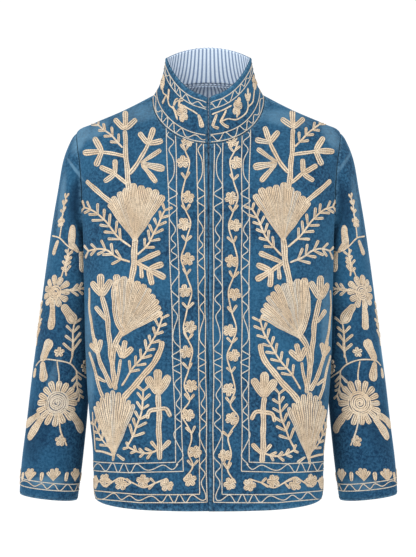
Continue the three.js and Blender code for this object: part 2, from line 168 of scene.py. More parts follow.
def velvet_material():
    """Blue pile: broad soft patches that are lighter or darker at random, a fine mottle and a fine bump, with
    painted shade on the lower sleeves, painted highlights and painted shade in listed patches, a painted highlight
    along the turned edges and seams, painted shade in their depth, and a painted shadow in the gap at the opening."""
    graph = Graph("velvet")
    place = graph.coordinate("Object")
    brushed = graph.noise(place, 11.0, 3.0).step(0.34, 0.68)
    mottle = graph.noise(place, 240.0, 3.0, 0.65).step(0.36, 0.66)
    edge_highlight_and_shade = graph.attribute("edge_highlight_and_shade")
    pile = graph.noise(place, 900.0, 2.0)
    base = graph.mix(brushed, colour(2, 34, 62), colour(24, 70, 100))
    base = graph.mix(mottle * 0.6, base, colour(50, 98, 130))
    base = graph.mix(pile.step(0.4, 0.75) * 0.25, base, colour(70, 120, 150))
    across, depth, height = graph.parts(place)
    from_middle = across.math("ABSOLUTE", across)
    # Painted shade: the sleeves below the shoulders are darker, as they turn away from the light.
    sleeve = from_middle.step(0.215, 0.25) * (-0.12 - height).step(0.0, 0.4)
    base = graph.mix(sleeve * 0.25, base, colour(6, 50, 82))
    # Painted highlights and painted shade in the listed patches.
    painted_highlight, painted_shade = 0.0, 0.0
    for x, z, half_width, half_height, lean, amount in PAINTED_LIGHT_PATCHES:
        up = (height - z) / half_height
        aside = (across - x - (height - z) * lean) / half_width
        share = (1.0 - (up * up + aside * aside)).step(0.0, 1.0) * abs(amount)
        if amount > 0:
            painted_highlight = share + painted_highlight
        else:
            painted_shade = share + painted_shade
    base = graph.mix(painted_highlight * (0.6 + brushed * 0.4), base, colour(122, 162, 186))
    base = graph.mix(painted_shade, base, colour(2, 30, 54))
    # Painted highlight along the turned edges and seams, and painted shade in the seams' depth.
    base = graph.mix(edge_highlight_and_shade * (0.05 + mottle * 0.42), base, colour(104, 148, 176))
    base = graph.mix(edge_highlight_and_shade.step(0.93, 1.0) * 0.6, base, colour(6, 24, 40))
    # Painted shadow in the gap between the fronts at the opening.
    opening_shadow = (1.0 - from_middle.step(0.0008, 0.0028)) * (-0.02 - depth).step(0.0, 0.02)
    base = graph.mix(opening_shadow * height.step(-0.3, -0.16) * 0.75, base, colour(4, 16, 28))
    graph.fill(graph.shader, {
        "Base Color": base,
        "Roughness": 0.9,
        "Specular IOR Level": 0.15,
        "Sheen Weight": 0.42,
        "Sheen Roughness": 0.38,
        "Sheen Tint": colour(110, 165, 202),
        "Normal": graph.bump(pile + mottle * 0.6, 0.35, 0.0006),
    })
    return graph.material


def lining_material():
    """Cotton ticking: blue stripes on bluish white, along the cloth's own length."""
    graph = Graph("striped cotton")
    across, _, _ = graph.parts(graph.node("ShaderNodeUVMap", {"uv_map": "cloth"}, {}).outputs[0])
    stripe_period = 0.0073
    place = (across / stripe_period).fraction()
    stripe = place.step(0.26, 0.32) - place.step(0.68, 0.74)
    threads = graph.noise(graph.coordinate("Object"), 700.0, 2.0)
    base = graph.mix(stripe, colour(214, 227, 240), colour(118, 138, 168))
    base = graph.mix(threads.step(0.35, 0.8) * 0.2, base, colour(150, 168, 192))
    graph.fill(graph.shader, {
        "Base Color": base,
        "Roughness": 0.85,
        "Specular IOR Level": 0.2,
        "Normal": graph.bump(threads, 0.3, 0.0004),
    })
    return graph.material


VELVET = velvet_material()
LINING = lining_material()

# The body's velvet with its quilted cotton back, one closed thin wall a panel. The fronts and the back end in a
# mitre at the armhole and neck seams, as the solids do, and every edge is turned in softly.

VELVET_WALL = 2.0
STRIPED_WALL = 1.0
SEAM_GAP = 0.4
LINING_GAP = 0.35
QUARTER = math.pi / 2


def table(columns, *rows):
    """Rows of numbers as one array a column."""
    return dict(zip(columns.split(), np.array(rows, float).T))


BODY_RINGS = table(
    "half_width side_height front_depth front_height back_depth back_height squareness tuck roll",
    (193, -664, 127, -676, 119, -672, 2.7, 0, 1),
    (197, -600, 128, -604, 120, -603, 2.8, 3, 1),
    (204, -535, 128, -537, 120, -536, 2.9, 13, 1),
    (209, -468, 127, -469, 119, -468, 3, 24, 1),
    (212, -400, 127, -400, 118, -400, 3, 30, 1),
    (213, -335, 127, -336, 118, -335, 3, 34, 1),
    (215, -275, 126, -278, 117, -276, 3, 36, 1),
    (216, -232, 123, -241, 115, -234, 3, 35, 1),
    (219, -187, 119, -208, 112, -191, 2.9, 20, 1.1),
    (222.5, -142, 114, -178, 109, -149, 2.7, 5, 1.2),
    (226, -98, 108, -150, 105, -107, 2.4, 0, 1.35),
    (224, -52, 101, -127, 99, -62, 2.1, 0, 1.5),
    (196, -36, 95, -112, 91, -20, 2, 0, 1.5),
    (160, -20.5, 90, -100, 82, 8, 2, 0, 1.4),
    (124, -5.5, 85, -88, 72, 27, 2, 0, 1.2),
    (95, 6.5, 80, -77, 62, 38, 2, 0, 1),
)
ARMPIT, SHOULDER, NECK = 7, 11, 15
ARMHOLE_POWER, ARMHOLE_REACH = 2.2, math.radians(26)
EDGE_GAP = 0.7
OVERLAP, OVERLAP_TOP, OVERLAP_GROWTH = 14, -330, 254
UNDERLAP_WIDTH, UNDERLAP_DEPTH, UNDERLAP_TOP, UNDERLAP_GROWTH = 38, 2.7, -230, 100

# The large folds that the solids also have, then the creases that only the cloth has.
BODY_FOLDS = table(
    "x z facing half_width half_length lean rise",
    (172, -178, 1, 19, 74, 14, 3.2),
    (-176, -186, 1, 20, 66, -10, 2.6),
    (118, -520, 1, 30, 150, 4, 3.4),
    (-126, -470, 1, 33, 165, -5, 3),
    (62, -560, 1, 26, 120, -3, -2.6),
    (-70, -590, 1, 28, 105, 3, -2.8),
    (148, -205, -1, 22, 92, -18, 4),
    (-154, -222, -1, 20, 80, 15, 3.4),
    (84, -500, -1, 34, 170, 6, 4.2),
    (-96, -455, -1, 38, 185, -4, 3.8),
    (6, -560, -1, 36, 150, 2, -4),
    (186, -150, 1, 7, 34, 24, 1.2),
    (-190, -140, 1, 6, 30, -28, 1.1),
    (158, -226, 1, 8, 40, 30, -1.1),
    (-163, -232, 1, 8, 36, -24, -1.2),
    (150, -395, 1, 12, 60, 10, 1.1),
    (-152, -385, 1, 13, 66, -12, 1.0),
    (44, -640, 1, 9, 44, -5, 0.9),
    (-52, -632, 1, 10, 48, 7, 0.9),
    (30, -230, -1, 14, 90, -6, -1.2),
    (-42, -260, -1, 13, 80, 8, -1.3),
    (128, -330, -1, 12, 66, 20, 1.4),
    (-132, -345, -1, 13, 72, -18, 1.3),
    (60, -130, -1, 40, 9, 12, -0.9),
    (-58, -128, -1, 44, 9, -10, -0.9),
    (40, -610, -1, 12, 60, 4, 1.4),
    (-44, -600, -1, 13, 66, -6, 1.5),
    (140, -600, -1, 11, 56, 8, 1.2),
    (-148, -590, -1, 12, 60, -9, 1.1),
)


def through(before, first, second, after, share):
    """Catmull-Rom curve: places at a share of the way from first to second."""
    share2, share3 = share ** 2, share ** 3
    return (
        (2 * share3 - 3 * share2 + 1) * first + (share3 - 2 * share2 + share) * (second - before) / 2
        + (3 * share2 - 2 * share3) * second + (share3 - share2) * (after - first) / 2
    )


def ring_at(rings, level):
    """Rings at fractional levels, every column on a Catmull-Rom curve through its rows."""
    last = len(rings["tuck" if "tuck" in rings else "outer_x"]) - 1
    start = np.clip(np.floor(level).astype(int), 0, last - 1)
    share = level - start
    near = [np.clip(start + step, 0, last) for step in (-1, 0, 1, 2)]
    return {name: through(*(values[place] for place in near), share) for name, values in rings.items()}


def smooth(share):
    """0 below 0 and 1 above 1, with a soft passage between."""
    share = np.clip(share, 0, 1)
    return share * share * (3 - 2 * share)


def unit(vectors):
    return vectors / np.maximum(np.linalg.norm(vectors, axis=-1, keepdims=True), 1e-9)


def dot(first, second):
    return (first * second).sum(-1, keepdims=True)


def ring_point(ring, angle):
    """Points of rings at angles from centre front: a squared oval, pressed in where the arm hangs, whose height
    goes from that of the side to that of the front or the back."""
    along, across = np.cos(angle), np.sin(angle)
    power = ring["squareness"]
    reach = (np.abs(along) ** power + np.abs(across) ** power) ** (-1 / power)
    y = -along * reach * np.where(along > 0, ring["front_depth"], ring["back_depth"])
    near = np.clip(1 - np.abs((y - 8) / 66) ** 2.2, 0, None)
    hollow = near ** 2 / (near + 0.15) * 1.15
    x = across * reach * ring["half_width"] - np.sign(across) * ring["tuck"] * hollow
    end = np.where(along > 0, ring["front_height"], ring["back_height"])
    share = np.minimum(np.abs(along) * reach, 1) ** ring["roll"]
    return np.stack([x, y, ring["side_height"] + (end - ring["side_height"]) * share], -1)


def body_point(level, angle):
    """The body's surface: its rings, moved outwards by the folds, each of them a bell across and along its line."""
    ring = ring_at(BODY_RINGS, level)
    point = ring_point(ring, angle)
    x, y, z = np.moveaxis(point, -1, 0)
    total = np.zeros_like(x)
    for fold_x, fold_z, facing, half_width, half_length, lean, rise in zip(*BODY_FOLDS.values()):
        cosine, sine = math.cos(math.radians(lean)), math.sin(math.radians(lean))
        across = ((x - fold_x) * cosine - (z - fold_z) * sine) / half_width
        along = ((x - fold_x) * sine + (z - fold_z) * cosine) / half_length
        on_face = np.where(facing * y > 0, 0, np.minimum(np.abs(y) / 30, 1))
        total += rise * on_face * np.exp(-(across ** 2) - along ** 2)
    outward = unit(np.stack([x / ring["half_width"], y / ring["front_depth"], 0 * z], -1))
    return point + outward * total[..., None]


def armhole_place(turn):
    """Level and angle of the armhole's edge at a turn round it: 0 at the shoulder, a quarter turn in front."""
    up = np.cos(turn)
    width = (1 - np.minimum(np.abs(up), 1) ** ARMHOLE_POWER) ** (1 / ARMHOLE_POWER)
    level = ARMPIT + (SHOULDER - ARMPIT) * (1 + up) / 2
    return level, QUARTER - np.sign(np.sin(turn)) * ARMHOLE_REACH * width


def directions(surface, first, second, side=0):
    """Unit steps along and round a surface, and its outward normal. Side -1 or 1 keeps the steps on one side."""
    step = 1e-3
    back, on = np.where(np.asarray(side) > 0, 0, step), np.where(np.asarray(side) < 0, 0, step)
    along = unit(surface(first + on, second) - surface(first - back, second))
    around = unit(surface(first, second + step) - surface(first, second - step))
    return along, around, unit(np.cross(around, along))


def mitre(first, second, seam, towards):
    """Plane between two walls: the direction out of the cloth in it, times the stretch that keeps the wall's
    thickness, and the direction square to it, towards the second wall."""
    out = unit(first + second)
    out = unit(out - seam * dot(out, seam))
    parting = unit(np.cross(out, seam))
    parting = np.where(dot(parting, towards) < 0, -parting, parting)
    return out * np.minimum(1 / np.maximum(dot(out, first), 0.1), 1.35), parting


SLEEVE_RINGS = table(
    "outer_x outer_z inner_x inner_z front_y back_y seam_share",
    (224, -52, 181, -232, -56, 58, 1),
    (234, -65, 190, -234, -56, 62, 0.85),
    (247, -99, 196, -239, -56, 66, 0.55),
    (256, -150, 197, -250, -55, 69, 0.2),
    (265.5, -205, 194, -268, -53, 70, 0),
    (274.5, -266, 191, -300, -50, 69, 0),
    (284, -335, 193, -354, -46, 67, 0),
    (293, -405, 197, -418, -42, 64, 0),
    (302, -475, 203, -485, -40, 59, 0),
    (309.5, -545, 208.5, -553, -40, 54, 0),
    (316, -608, 215, -616, -41, 49, 0),
    (320.5, -664, 222.5, -675, -42, 45, 0),
)
CUFF = 11
SLEEVE_POWER = 2.15

SLEEVE_FOLDS = table(
    "level turn half_levels half_turn twist rise",
    (1.5, 62, 1.5, 20, 14, 2.4),
    (1.8, -75, 1.6, 24, -12, 2.6),
    (6.1, 128, 0.42, 66, 0, -3.6),
    (6.9, 118, 0.4, 60, 0, 2.6),
    (7.7, 132, 0.42, 62, 0, -3.4),
    (7.1, -120, 0.7, 48, 0, -2.6),
    (10.1, 40, 0.9, 70, 0, 1.8),
    (1.3, 84, 1.0, 8, 20, 1.5),
    (1.2, 40, 1.1, 9, 10, -1.2),
    (1.4, -50, 1.2, 9, -14, -1.3),
    (2.6, 118, 0.8, 16, -20, 1.4),
    (3.4, 150, 0.6, 22, 26, -1.6),
    (5.4, 100, 0.2, 34, 40, -1.2),
    (6.5, 84, 0.18, 30, -30, 1.1),
    (7.2, 150, 0.2, 30, 30, -1.3),
    (8.4, 100, 0.22, 34, -36, 1.1),
    (5.7, -110, 0.24, 34, 30, -1.3),
    (8.2, -120, 0.22, 38, -30, 1.3),
    (9.3, 128, 0.3, 36, 20, -1.2),
    (10.4, -60, 0.4, 30, 10, 1.2),
)


def sleeve_oval(ring, turn):
    """Squared ovals between the outer and inner ends and the front and back of sleeve rings."""
    out, forward = np.cos(turn), np.sin(turn)
    reach = (np.abs(out) ** SLEEVE_POWER + np.abs(forward) ** SLEEVE_POWER) ** (-1 / SLEEVE_POWER)
    outwards, forwards = (1 + out * reach) / 2, (1 + forward * reach) / 2
    return np.stack([
        ring["inner_x"] + (ring["outer_x"] - ring["inner_x"]) * outwards,
        ring["back_y"] + (ring["front_y"] - ring["back_y"]) * forwards,
        ring["inner_z"] + (ring["outer_z"] - ring["inner_z"]) * outwards,
    ], -1)


def sleeve_point(level, turn):
    """The sleeve at the viewer's right: its ovals, which keep a share of the armhole's bow, moved by the folds."""
    seam = ring_at(SLEEVE_RINGS, 0 * level)
    bow = body_point(*armhole_place(turn)) - sleeve_oval(seam, turn)
    ring = ring_at(SLEEVE_RINGS, level)
    middle = (sleeve_oval(ring, 0 * turn) + sleeve_oval(ring, 0 * turn + math.pi)) / 2
    point = sleeve_oval(ring, turn)
    total = np.zeros_like(point[..., 0])
    for fold_level, fold_turn, half_levels, half_turn, twist, rise in zip(*SLEEVE_FOLDS.values()):
        down = level - fold_level
        away = (np.degrees(turn) - fold_turn - twist * down + 180) % 360 - 180
        total += rise * np.exp(-((down / half_levels) ** 2) - (away / half_turn) ** 2)
    total *= smooth(level)
    return point + bow * ring["seam_share"][..., None] + unit(point - middle) * total[..., None]


def armhole_mitre(turn):
    """The mitre between body and sleeve at turns round the armhole."""
    _, _, normal = directions(body_point, *armhole_place(turn))
    along, around, sleeve_normal = directions(sleeve_point, 0 * turn, turn, 1)
    return mitre(normal, sleeve_normal, around, along)


COLLAR_RINGS = {
    name: np.append(BODY_RINGS[name][NECK], values)
    for name, values in table(
        " ".join(BODY_RINGS),
        (85, 25, 76.5, -57, 59, 54, 2, 0, 1.1),
        (79, 42.5, 73, -37, 56, 70, 2, 0, 1.25),
        (75.2, 59.5, 69.5, -16, 53, 86, 2, 0, 1.4),
        (72.5, 76, 66, 4, 50, 101, 2, 0, 1.6),
    ).items()
}
COLLAR_TOP = 4
CORNER_WIDTH, CORNER_DROP = 14, 5


def collar_point(level, angle):
    """The standing collar's surface: its rings, with the top corners at the opening rounded off."""
    point = ring_point(ring_at(COLLAR_RINGS, level), angle)
    share = np.where(np.cos(angle) > 0, 1 - np.minimum(np.abs(point[..., 0]) / CORNER_WIDTH, 1), 0)
    point[..., 2] -= CORNER_DROP * share ** 2 * level / COLLAR_TOP
    return point


def neck_mitre(angle):
    """The mitre between body and collar at angles round the neck."""
    _, _, normal = directions(body_point, 0 * angle + NECK, angle, -1)
    along, around, collar_normal = directions(collar_point, 0 * angle, angle, 1)
    return mitre(normal, collar_normal, around, along)


HALF_TURN_STEPS = 56
EDGE_LIGHT_WIDTH = 4.0


def crowded(count, crowd=(0.0, 0.004, 0.009, 0.016)):
    """Shares from 0 to 1 in count even parts, with more of them near both ends, for the turned edges."""
    ends = np.array(crowd)
    return np.concatenate([ends, np.linspace(0, 1, count + 1)[1:-1], 1 - ends[::-1]])


def turned(outer, normal, edges, depth=0.8, width=1.8):
    """Outer points of a grid, sunk near the named edges so that they look turned in."""
    at = {"first": outer[:, :1], "last": outer[:, -1:], "low": outer[:1], "high": outer[-1:]}
    away = np.min([np.linalg.norm(outer - at[edge], axis=-1) for edge in edges], axis=0)
    return outer - normal * (depth * np.exp(-((away / width) ** 2)))[..., None]


def wall(name, outer, inner, closed=False, lined=True, cloth=None):
    """Closed wall between two grids of points in millimetres. Its outer side and rims are velvet, or lining."""
    rows, columns = outer.shape[:2]
    front = np.arange(rows * columns).reshape(rows, columns)
    if closed:
        front = np.hstack([front, front[:, :1]])
    back = front + rows * columns

    def quads(grid):
        corners = (grid[:-1, :-1], grid[:-1, 1:], grid[1:, 1:], grid[1:, :-1])
        return np.stack(corners, -1).reshape(-1, 4)

    sides = [quads(back)[:, ::-1], quads(front)]
    sides.append(np.stack([front[0, :-1], back[0, :-1], back[0, 1:], front[0, 1:]], -1))
    sides.append(np.stack([front[-1, :-1], front[-1, 1:], back[-1, 1:], back[-1, :-1]], -1))
    if not closed:
        sides.append(np.stack([front[:-1, 0], front[1:, 0], back[1:, 0], back[:-1, 0]], -1))
        sides.append(np.stack([front[:-1, -1], back[:-1, -1], back[1:, -1], front[1:, -1]], -1))
    faces = np.concatenate(sides)
    points = np.concatenate([outer.reshape(-1, 3), inner.reshape(-1, 3)])
    a, b, c, d = (points[faces[:, corner]] for corner in range(4))
    if (a * np.cross(b - d, c - a)).sum() < 0:
        faces = faces[:, ::-1]
    mesh = bpy.data.meshes.new(name)
    mesh.from_pydata((points * MM).tolist(), [], faces.tolist())
    mesh.polygons.foreach_set("use_smooth", np.ones(len(faces), bool))
    mesh.materials.append(VELVET if cloth is None else LINING)
    if lined:
        mesh.materials.append(LINING)
        inside = np.arange(len(faces)) < len(sides[0])
        mesh.polygons.foreach_set("material_index", inside.astype(int))
    if cloth is None:
        cloth = np.cumsum(np.linalg.norm(np.diff(outer, axis=1, prepend=outer[:, :1]), axis=-1), axis=1)
    across = np.tile(cloth.ravel(), 2)
    corners = np.zeros(len(mesh.loops), int)
    mesh.loops.foreach_get("vertex_index", corners)
    uv = np.stack([across[corners], np.tile(outer[..., 2].ravel(), 2)[corners]], -1) * MM
    mesh.uv_layers.new(name="cloth").data.foreach_set("uv", uv.ravel())
    # Nearness to the edges, which the velvet uses for a painted highlight along them and painted shade in the seams'
    # depth.
    edges = [outer[:1], outer[-1:]] + ([] if closed else [outer[:, :1], outer[:, -1:]])
    away = np.min([np.linalg.norm(outer - edge, axis=-1) for edge in edges], axis=0)
    edge_highlight_and_shade = np.tile(np.exp(-((away / EDGE_LIGHT_WIDTH) ** 2)).ravel(), 2)
    mesh.attributes.new("edge_highlight_and_shade", "FLOAT", "POINT").data.foreach_set("value", edge_highlight_and_shade)
    piece = bpy.data.objects.new(name, mesh)
    bpy.context.scene.collection.objects.link(piece)
    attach(piece, "root")
    return piece


def half_turn(count):
    """Turns from half round to none, a little further apart at both ends, where the armhole's edge runs level."""
    share = np.linspace(0, 1, count + 1)
    return math.pi * (1 - 0.65 * share - 0.35 * np.arccos(1 - 2 * share) / math.pi)


def body_rows(fine):
    """Levels of a panel's rows from hem to neck, and the armhole's turn at each, which is nan elsewhere."""
    low = ARMPIT * crowded(fine * 3)
    low = low[low < ARMPIT - 0.1]
    turns = half_turn(HALF_TURN_STEPS)
    high = SHOULDER + (NECK - SHOULDER) * crowded(fine // 2)
    high = high[high > SHOULDER + 0.06]
    levels = np.concatenate([low, armhole_place(turns)[0], high])
    return levels, np.concatenate([0 * low + np.nan, turns, 0 * high + np.nan])


def underlapping_point(level, angle):
    """The right front's surface, which sinks where the left front covers it."""
    point = body_point(level, angle)
    near = np.where(np.cos(angle) > 0, smooth(1 - point[..., 0] / UNDERLAP_WIDTH), 0)
    point[..., 1] += UNDERLAP_DEPTH * smooth((UNDERLAP_TOP - point[..., 2]) / UNDERLAP_GROWTH) * near
    return point


def body_wall(surface, level, angle, turn, half, edge_columns):
    """Outer and inner grids of a panel. Half is 1 on a front and -1 on the back, and edge_columns are the ones
    that lie on the side and armhole seams."""
    outer = surface(level, angle)
    _, around, normal = directions(body_point, level, angle, np.where(level >= NECK, -1, 0))
    inner_step = normal * VELVET_WALL
    out, parting = neck_mitre(angle[-1])
    outer[-1] -= parting * SEAM_GAP / 2
    inner_step[-1] = out * VELVET_WALL
    for column in edge_columns:
        beside = ~np.isnan(turn)
        out, parting = armhole_mitre(half * turn[beside])
        outer[beside, column] -= parting * SEAM_GAP / 2
        inner_step[beside, column] = out * VELVET_WALL
        seam = ~beside
        outer[seam, column] -= half * around[seam, column] * SEAM_GAP / 2
    return outer, inner_step, normal


FRONT_COLUMNS = 72


def front_panel(side):
    """A front: columns from its opening edge to the side seam and armhole, mirrored for the right one."""
    levels, turn = body_rows(50)
    share = crowded(FRONT_COLUMNS)[None, :]
    ring = ring_at(BODY_RINGS, levels)
    reach = OVERLAP * smooth((OVERLAP_TOP - ring["front_height"]) / OVERLAP_GROWTH) if side < 0 else 0
    start = np.arcsin((EDGE_GAP - reach) / ring["half_width"])[:, None]
    end = np.where(np.isnan(turn), QUARTER, armhole_place(turn)[1])[:, None]
    angle = start + (QUARTER - start) * share + (end - QUARTER) * share ** 3
    level = np.broadcast_to(levels[:, None], angle.shape)
    surface = underlapping_point if side < 0 else body_point
    outer, inner_step, normal = body_wall(surface, level, angle, turn, 1, [-1])
    inner = outer - inner_step
    outer = turned(outer, normal, ("first", "last", "low", "high"))
    return outer * (side, 1, 1), inner * (side, 1, 1)


def back_panel():
    """The back: columns from the side seam at the viewer's right to the one at the left."""
    levels, turn = body_rows(50)
    across = (1 - 2 * crowded(2 * FRONT_COLUMNS))[None, :]
    share, side = np.abs(across), np.where(across < 0, -1, 1)
    end = np.where(np.isnan(turn), QUARTER, armhole_place(-turn)[1])[:, None]
    angle = math.pi + (QUARTER - math.pi) * share + (end - QUARTER) * share ** 3
    level = np.broadcast_to(levels[:, None], angle.shape)
    outer, inner_step, normal = body_wall(body_point, level, angle, turn, -1, [0, -1])
    inner = outer - inner_step
    outer = turned(outer, normal, ("first", "last", "low", "high"))
    flip = np.stack([side + 0 * angle, 1 + 0 * angle, 1 + 0 * angle], -1)
    return outer * flip, inner * flip


FRONT_RIGHT_GRID, FRONT_LEFT_GRID, BACK_GRID = front_panel(-1), front_panel(1), back_panel()
front_right = wall("velvet_front_right", *FRONT_RIGHT_GRID)
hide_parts("front_right")

front_left = wall("velvet_front_left", *FRONT_LEFT_GRID)
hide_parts("front_left")

back = wall("velvet_back", *BACK_GRID)
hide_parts("back")

# The sleeves' velvet, each one tube from the armhole seam to its turned cuff, with the lining quilted inside.


def sleeve_grid(side):
    """Outer and inner grids of a sleeve, closed round, from the armhole to the cuff."""
    level = CUFF * crowded(130, (0.0, 0.002, 0.0045, 0.008))[:, None]
    half = half_turn(HALF_TURN_STEPS)
    turn = np.concatenate([half[:-1], -half[::-1][:-1]])[None, :]
    level, turn = np.broadcast_arrays(level, turn)
    outer = sleeve_point(level, turn)
    ends = np.where(level >= CUFF, -1, 0) + np.where(level <= 0, 1, 0)
    _, _, normal = directions(sleeve_point, level, turn, ends)
    inner_step = normal * VELVET_WALL
    out, parting = armhole_mitre(turn[0])
    outer[0] += parting * SEAM_GAP / 2
    inner_step[0] = out * VELVET_WALL
    inner = outer - inner_step
    outer = turned(outer, normal, ("low", "high"))
    return outer * (side, 1, 1), inner * (side, 1, 1)


SLEEVE_RIGHT_GRID, SLEEVE_LEFT_GRID = sleeve_grid(-1), sleeve_grid(1)
sleeve_right = wall("velvet_sleeve_right", *SLEEVE_RIGHT_GRID, closed=True)
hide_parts("sleeve_right")

sleeve_left = wall("velvet_sleeve_left", *SLEEVE_LEFT_GRID, closed=True)
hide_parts("sleeve_left")

# The standing collar's velvet, sewn to the neck seam, with a rolled top edge.


def neck_angles(count):
    """Angles round the neck from one opening edge to the other."""
    start = math.asin(EDGE_GAP / BODY_RINGS["half_width"][NECK])
    return start + (2 * math.pi - 2 * start) * crowded(count, (0.0, 0.002, 0.0045, 0.008))


def collar_grid():
    """Outer and inner grids of the collar. Its top edge bulges out a little where the velvet is rolled over."""
    level, angle = np.broadcast_arrays(COLLAR_TOP * crowded(30)[:, None], neck_angles(200)[None, :])
    outer = collar_point(level, angle)
    _, _, normal = directions(collar_point, level, angle, np.where(level >= COLLAR_TOP, -1, 0))
    inner_step = normal * VELVET_WALL
    out, parting = neck_mitre(angle[0])
    outer[0] += parting * SEAM_GAP / 2
    inner_step[0] = out * VELVET_WALL
    inner = outer - inner_step
    outer = turned(outer, normal, ("first", "last", "low", "high"))
    below_top = np.linalg.norm(outer - outer[-1:], axis=-1)
    bulge = 0.9 * np.exp(-(((below_top - 2.6) / 1.8) ** 2))
    return outer + normal * bulge[..., None], inner


COLLAR_GRID = collar_grid()
collar = wall("velvet_collar", *COLLAR_GRID)
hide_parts("collar")

# The striped cotton inside the collar and, cut separately, inside the back neck, both felled to the velvet.


def lining_grids(surface, level, angle):
    """Outer and inner grids of a lining, a sewing gap inside a velvet wall."""
    point = surface(level, angle)
    _, _, normal = directions(surface, level, angle)
    outer = point - normal * (VELVET_WALL + LINING_GAP)
    return outer, outer - normal * STRIPED_WALL


def place_across(surface, level, angle, start):
    """Millimetres along the cloth's middle row, the same in all rows, so that the stripes run up it."""
    middle = surface(level, angle)[level.shape[0] // 2]
    steps = np.linalg.norm(np.diff(middle, axis=0, prepend=middle[:1]), axis=-1)
    return np.broadcast_to(start + np.cumsum(steps), level.shape)


level, angle = np.broadcast_arrays(np.linspace(0.25, 3.86, 24)[:, None], neck_angles(200)[None, 6:-6])
collar_lining = wall(
    "striped_collar_lining", *lining_grids(collar_point, level, angle), lined=False,
    cloth=place_across(collar_point, level, angle, 0.0),
)
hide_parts("collar_lining")

angle = math.pi * (1 + np.linspace(-12, 12, 121) / 28)[None, :]
level, angle = np.broadcast_arrays(NECK + np.linspace(-2, -0.15, 24)[:, None], angle)
back_neck_lining = wall(
    "striped_back_neck_lining", *lining_grids(body_point, level, angle), lined=False,
    cloth=place_across(body_point, level, angle, 3.2),
)
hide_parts("back_neck_lining")

# The embroidery: rows of chain stitch in cream thread, worked through the velvet. Its design is drawn on a grid of
# 1.66 mm squares, 208.5 squares from the grid's left side to the centre front and 98 from its top to the neck line.
# Every motif is a few strokes, and every stroke is filled with rows that follow it, raised on the cloth.

SQUARE = 1.66
CAMERA_WAY, CAMERA_HEIGHT, DESIGN_DEPTH = 2500, -300, 60
CENTRE, NECK_LINE = 208.5, 98.0
ROW_WIDTH = 1.9
HAND_WOBBLE = 0.28
rng = np.random.default_rng(7)


def seen(points, side=1):
    """Grid places of points as seen level from the camera's distance in front, side 1, or behind, side -1. The
    grid's squares have their size at the design's depth."""
    x, y, z = np.moveaxis(points, -1, 0)
    near = (CAMERA_WAY - DESIGN_DEPTH) / (CAMERA_WAY + side * y)
    height = (z - CAMERA_HEIGHT) * near + CAMERA_HEIGHT
    return np.stack([CENTRE + side * x * near / SQUARE, NECK_LINE - height / SQUARE], -1)


class Chart:
    """The outer side of a piece of cloth with its own flat place on the design grid for every mesh point."""

    def __init__(self, outer, flat):
        rows, columns = outer.shape[:2]
        index = np.arange(rows * columns).reshape(rows, columns)
        a, b, c, d = index[:-1, :-1], index[:-1, 1:], index[1:, 1:], index[1:, :-1]
        halves = np.concatenate([np.stack([a, b, c], -1).reshape(-1, 3), np.stack([a, c, d], -1).reshape(-1, 3)])
        down, across = np.gradient(outer, axis=0), np.gradient(outer, axis=1)
        normal = unit(np.cross(down, across))
        if dot(normal, outer - outer.mean((0, 1))).mean() < 0:
            normal = -normal
        self.points, self.normals = outer.reshape(-1, 3), normal.reshape(-1, 3)
        self.flat, self.halves = flat.reshape(-1, 2), halves
        flat3 = np.column_stack([self.flat, np.zeros(len(self.flat))])
        self.tree = BVHTree.FromPolygons(flat3.tolist(), halves.tolist())

    def lift(self, places):
        """Points and normals on the cloth at places on the grid, and which of the places are on it."""
        found = [self.tree.find_nearest((x, y, 0.0)) for x, y in places.tolist()]
        triangle = self.halves[[hit[2] for hit in found]]
        corners = self.flat[triangle]
        on_cloth = np.array([hit[3] for hit in found]) < 0.25
        first, second = corners[:, 1] - corners[:, 0], corners[:, 2] - corners[:, 0]
        away = places - corners[:, 0]
        area = first[:, 0] * second[:, 1] - first[:, 1] * second[:, 0]
        area = np.where(np.abs(area) < 1e-9, 1e-9, area)
        share_b = np.clip((away[:, 0] * second[:, 1] - away[:, 1] * second[:, 0]) / area, 0, 1)
        share_c = np.clip((first[:, 0] * away[:, 1] - first[:, 1] * away[:, 0]) / area, 0, 1)
        shares = np.stack([1 - share_b - share_c, share_b, share_c], -1)[..., None]
        return (self.points[triangle] * shares).sum(1), unit((self.normals[triangle] * shares).sum(1)), on_cloth


def curve(points, step=1.0):
    """Smooth line through points, with a place about every step squares."""
    points = np.array(points, float)
    if len(points) > 2:
        padded = np.vstack([2 * points[0] - points[1], points, 2 * points[-1] - points[-2]])
        share = np.linspace(0, 1, 12, endpoint=False)[:, None]
        pieces = [through(*four, share) for four in zip(padded, padded[1:], padded[2:], padded[3:])]
        points = np.vstack([*pieces, points[-1:]])
    length = np.append(0, np.cumsum(np.linalg.norm(np.diff(points, axis=0), axis=1)))
    even = np.linspace(0, length[-1], max(int(round(length[-1] / step)), 3) + 1)
    return np.stack([np.interp(even, length, points[:, axis]) for axis in (0, 1)], -1)


def stroke(points, widths, tone=0.0, rounded=True, step=1.0):
    """A stroke along a line: its path, its half width along it with rounded ends, its rows and its tone."""
    path = curve(points, step)
    length = np.append(0, np.cumsum(np.linalg.norm(np.diff(path, axis=0), axis=1)))
    share = length / length[-1]
    path = path + HAND_WOBBLE * np.sin(length[:, None] / (4.2, 5.3) + rng.uniform(0, 6.3, 2))
    half = np.interp(share, np.linspace(0, 1, len(widths)), widths) / 2
    half = half * (1 + 0.07 * np.sin(length / 2.6 + rng.uniform(0, 6.3)))
    if rounded:
        from_end = np.minimum(length, length[-1] - length) / np.maximum(half, 0.3)
        half = half * np.sqrt(np.clip(1 - np.clip(1 - from_end, 0, 1) ** 2, 0.12, 1))
    return path, half, max(int(round(max(widths) / ROW_WIDTH)), 1), tone


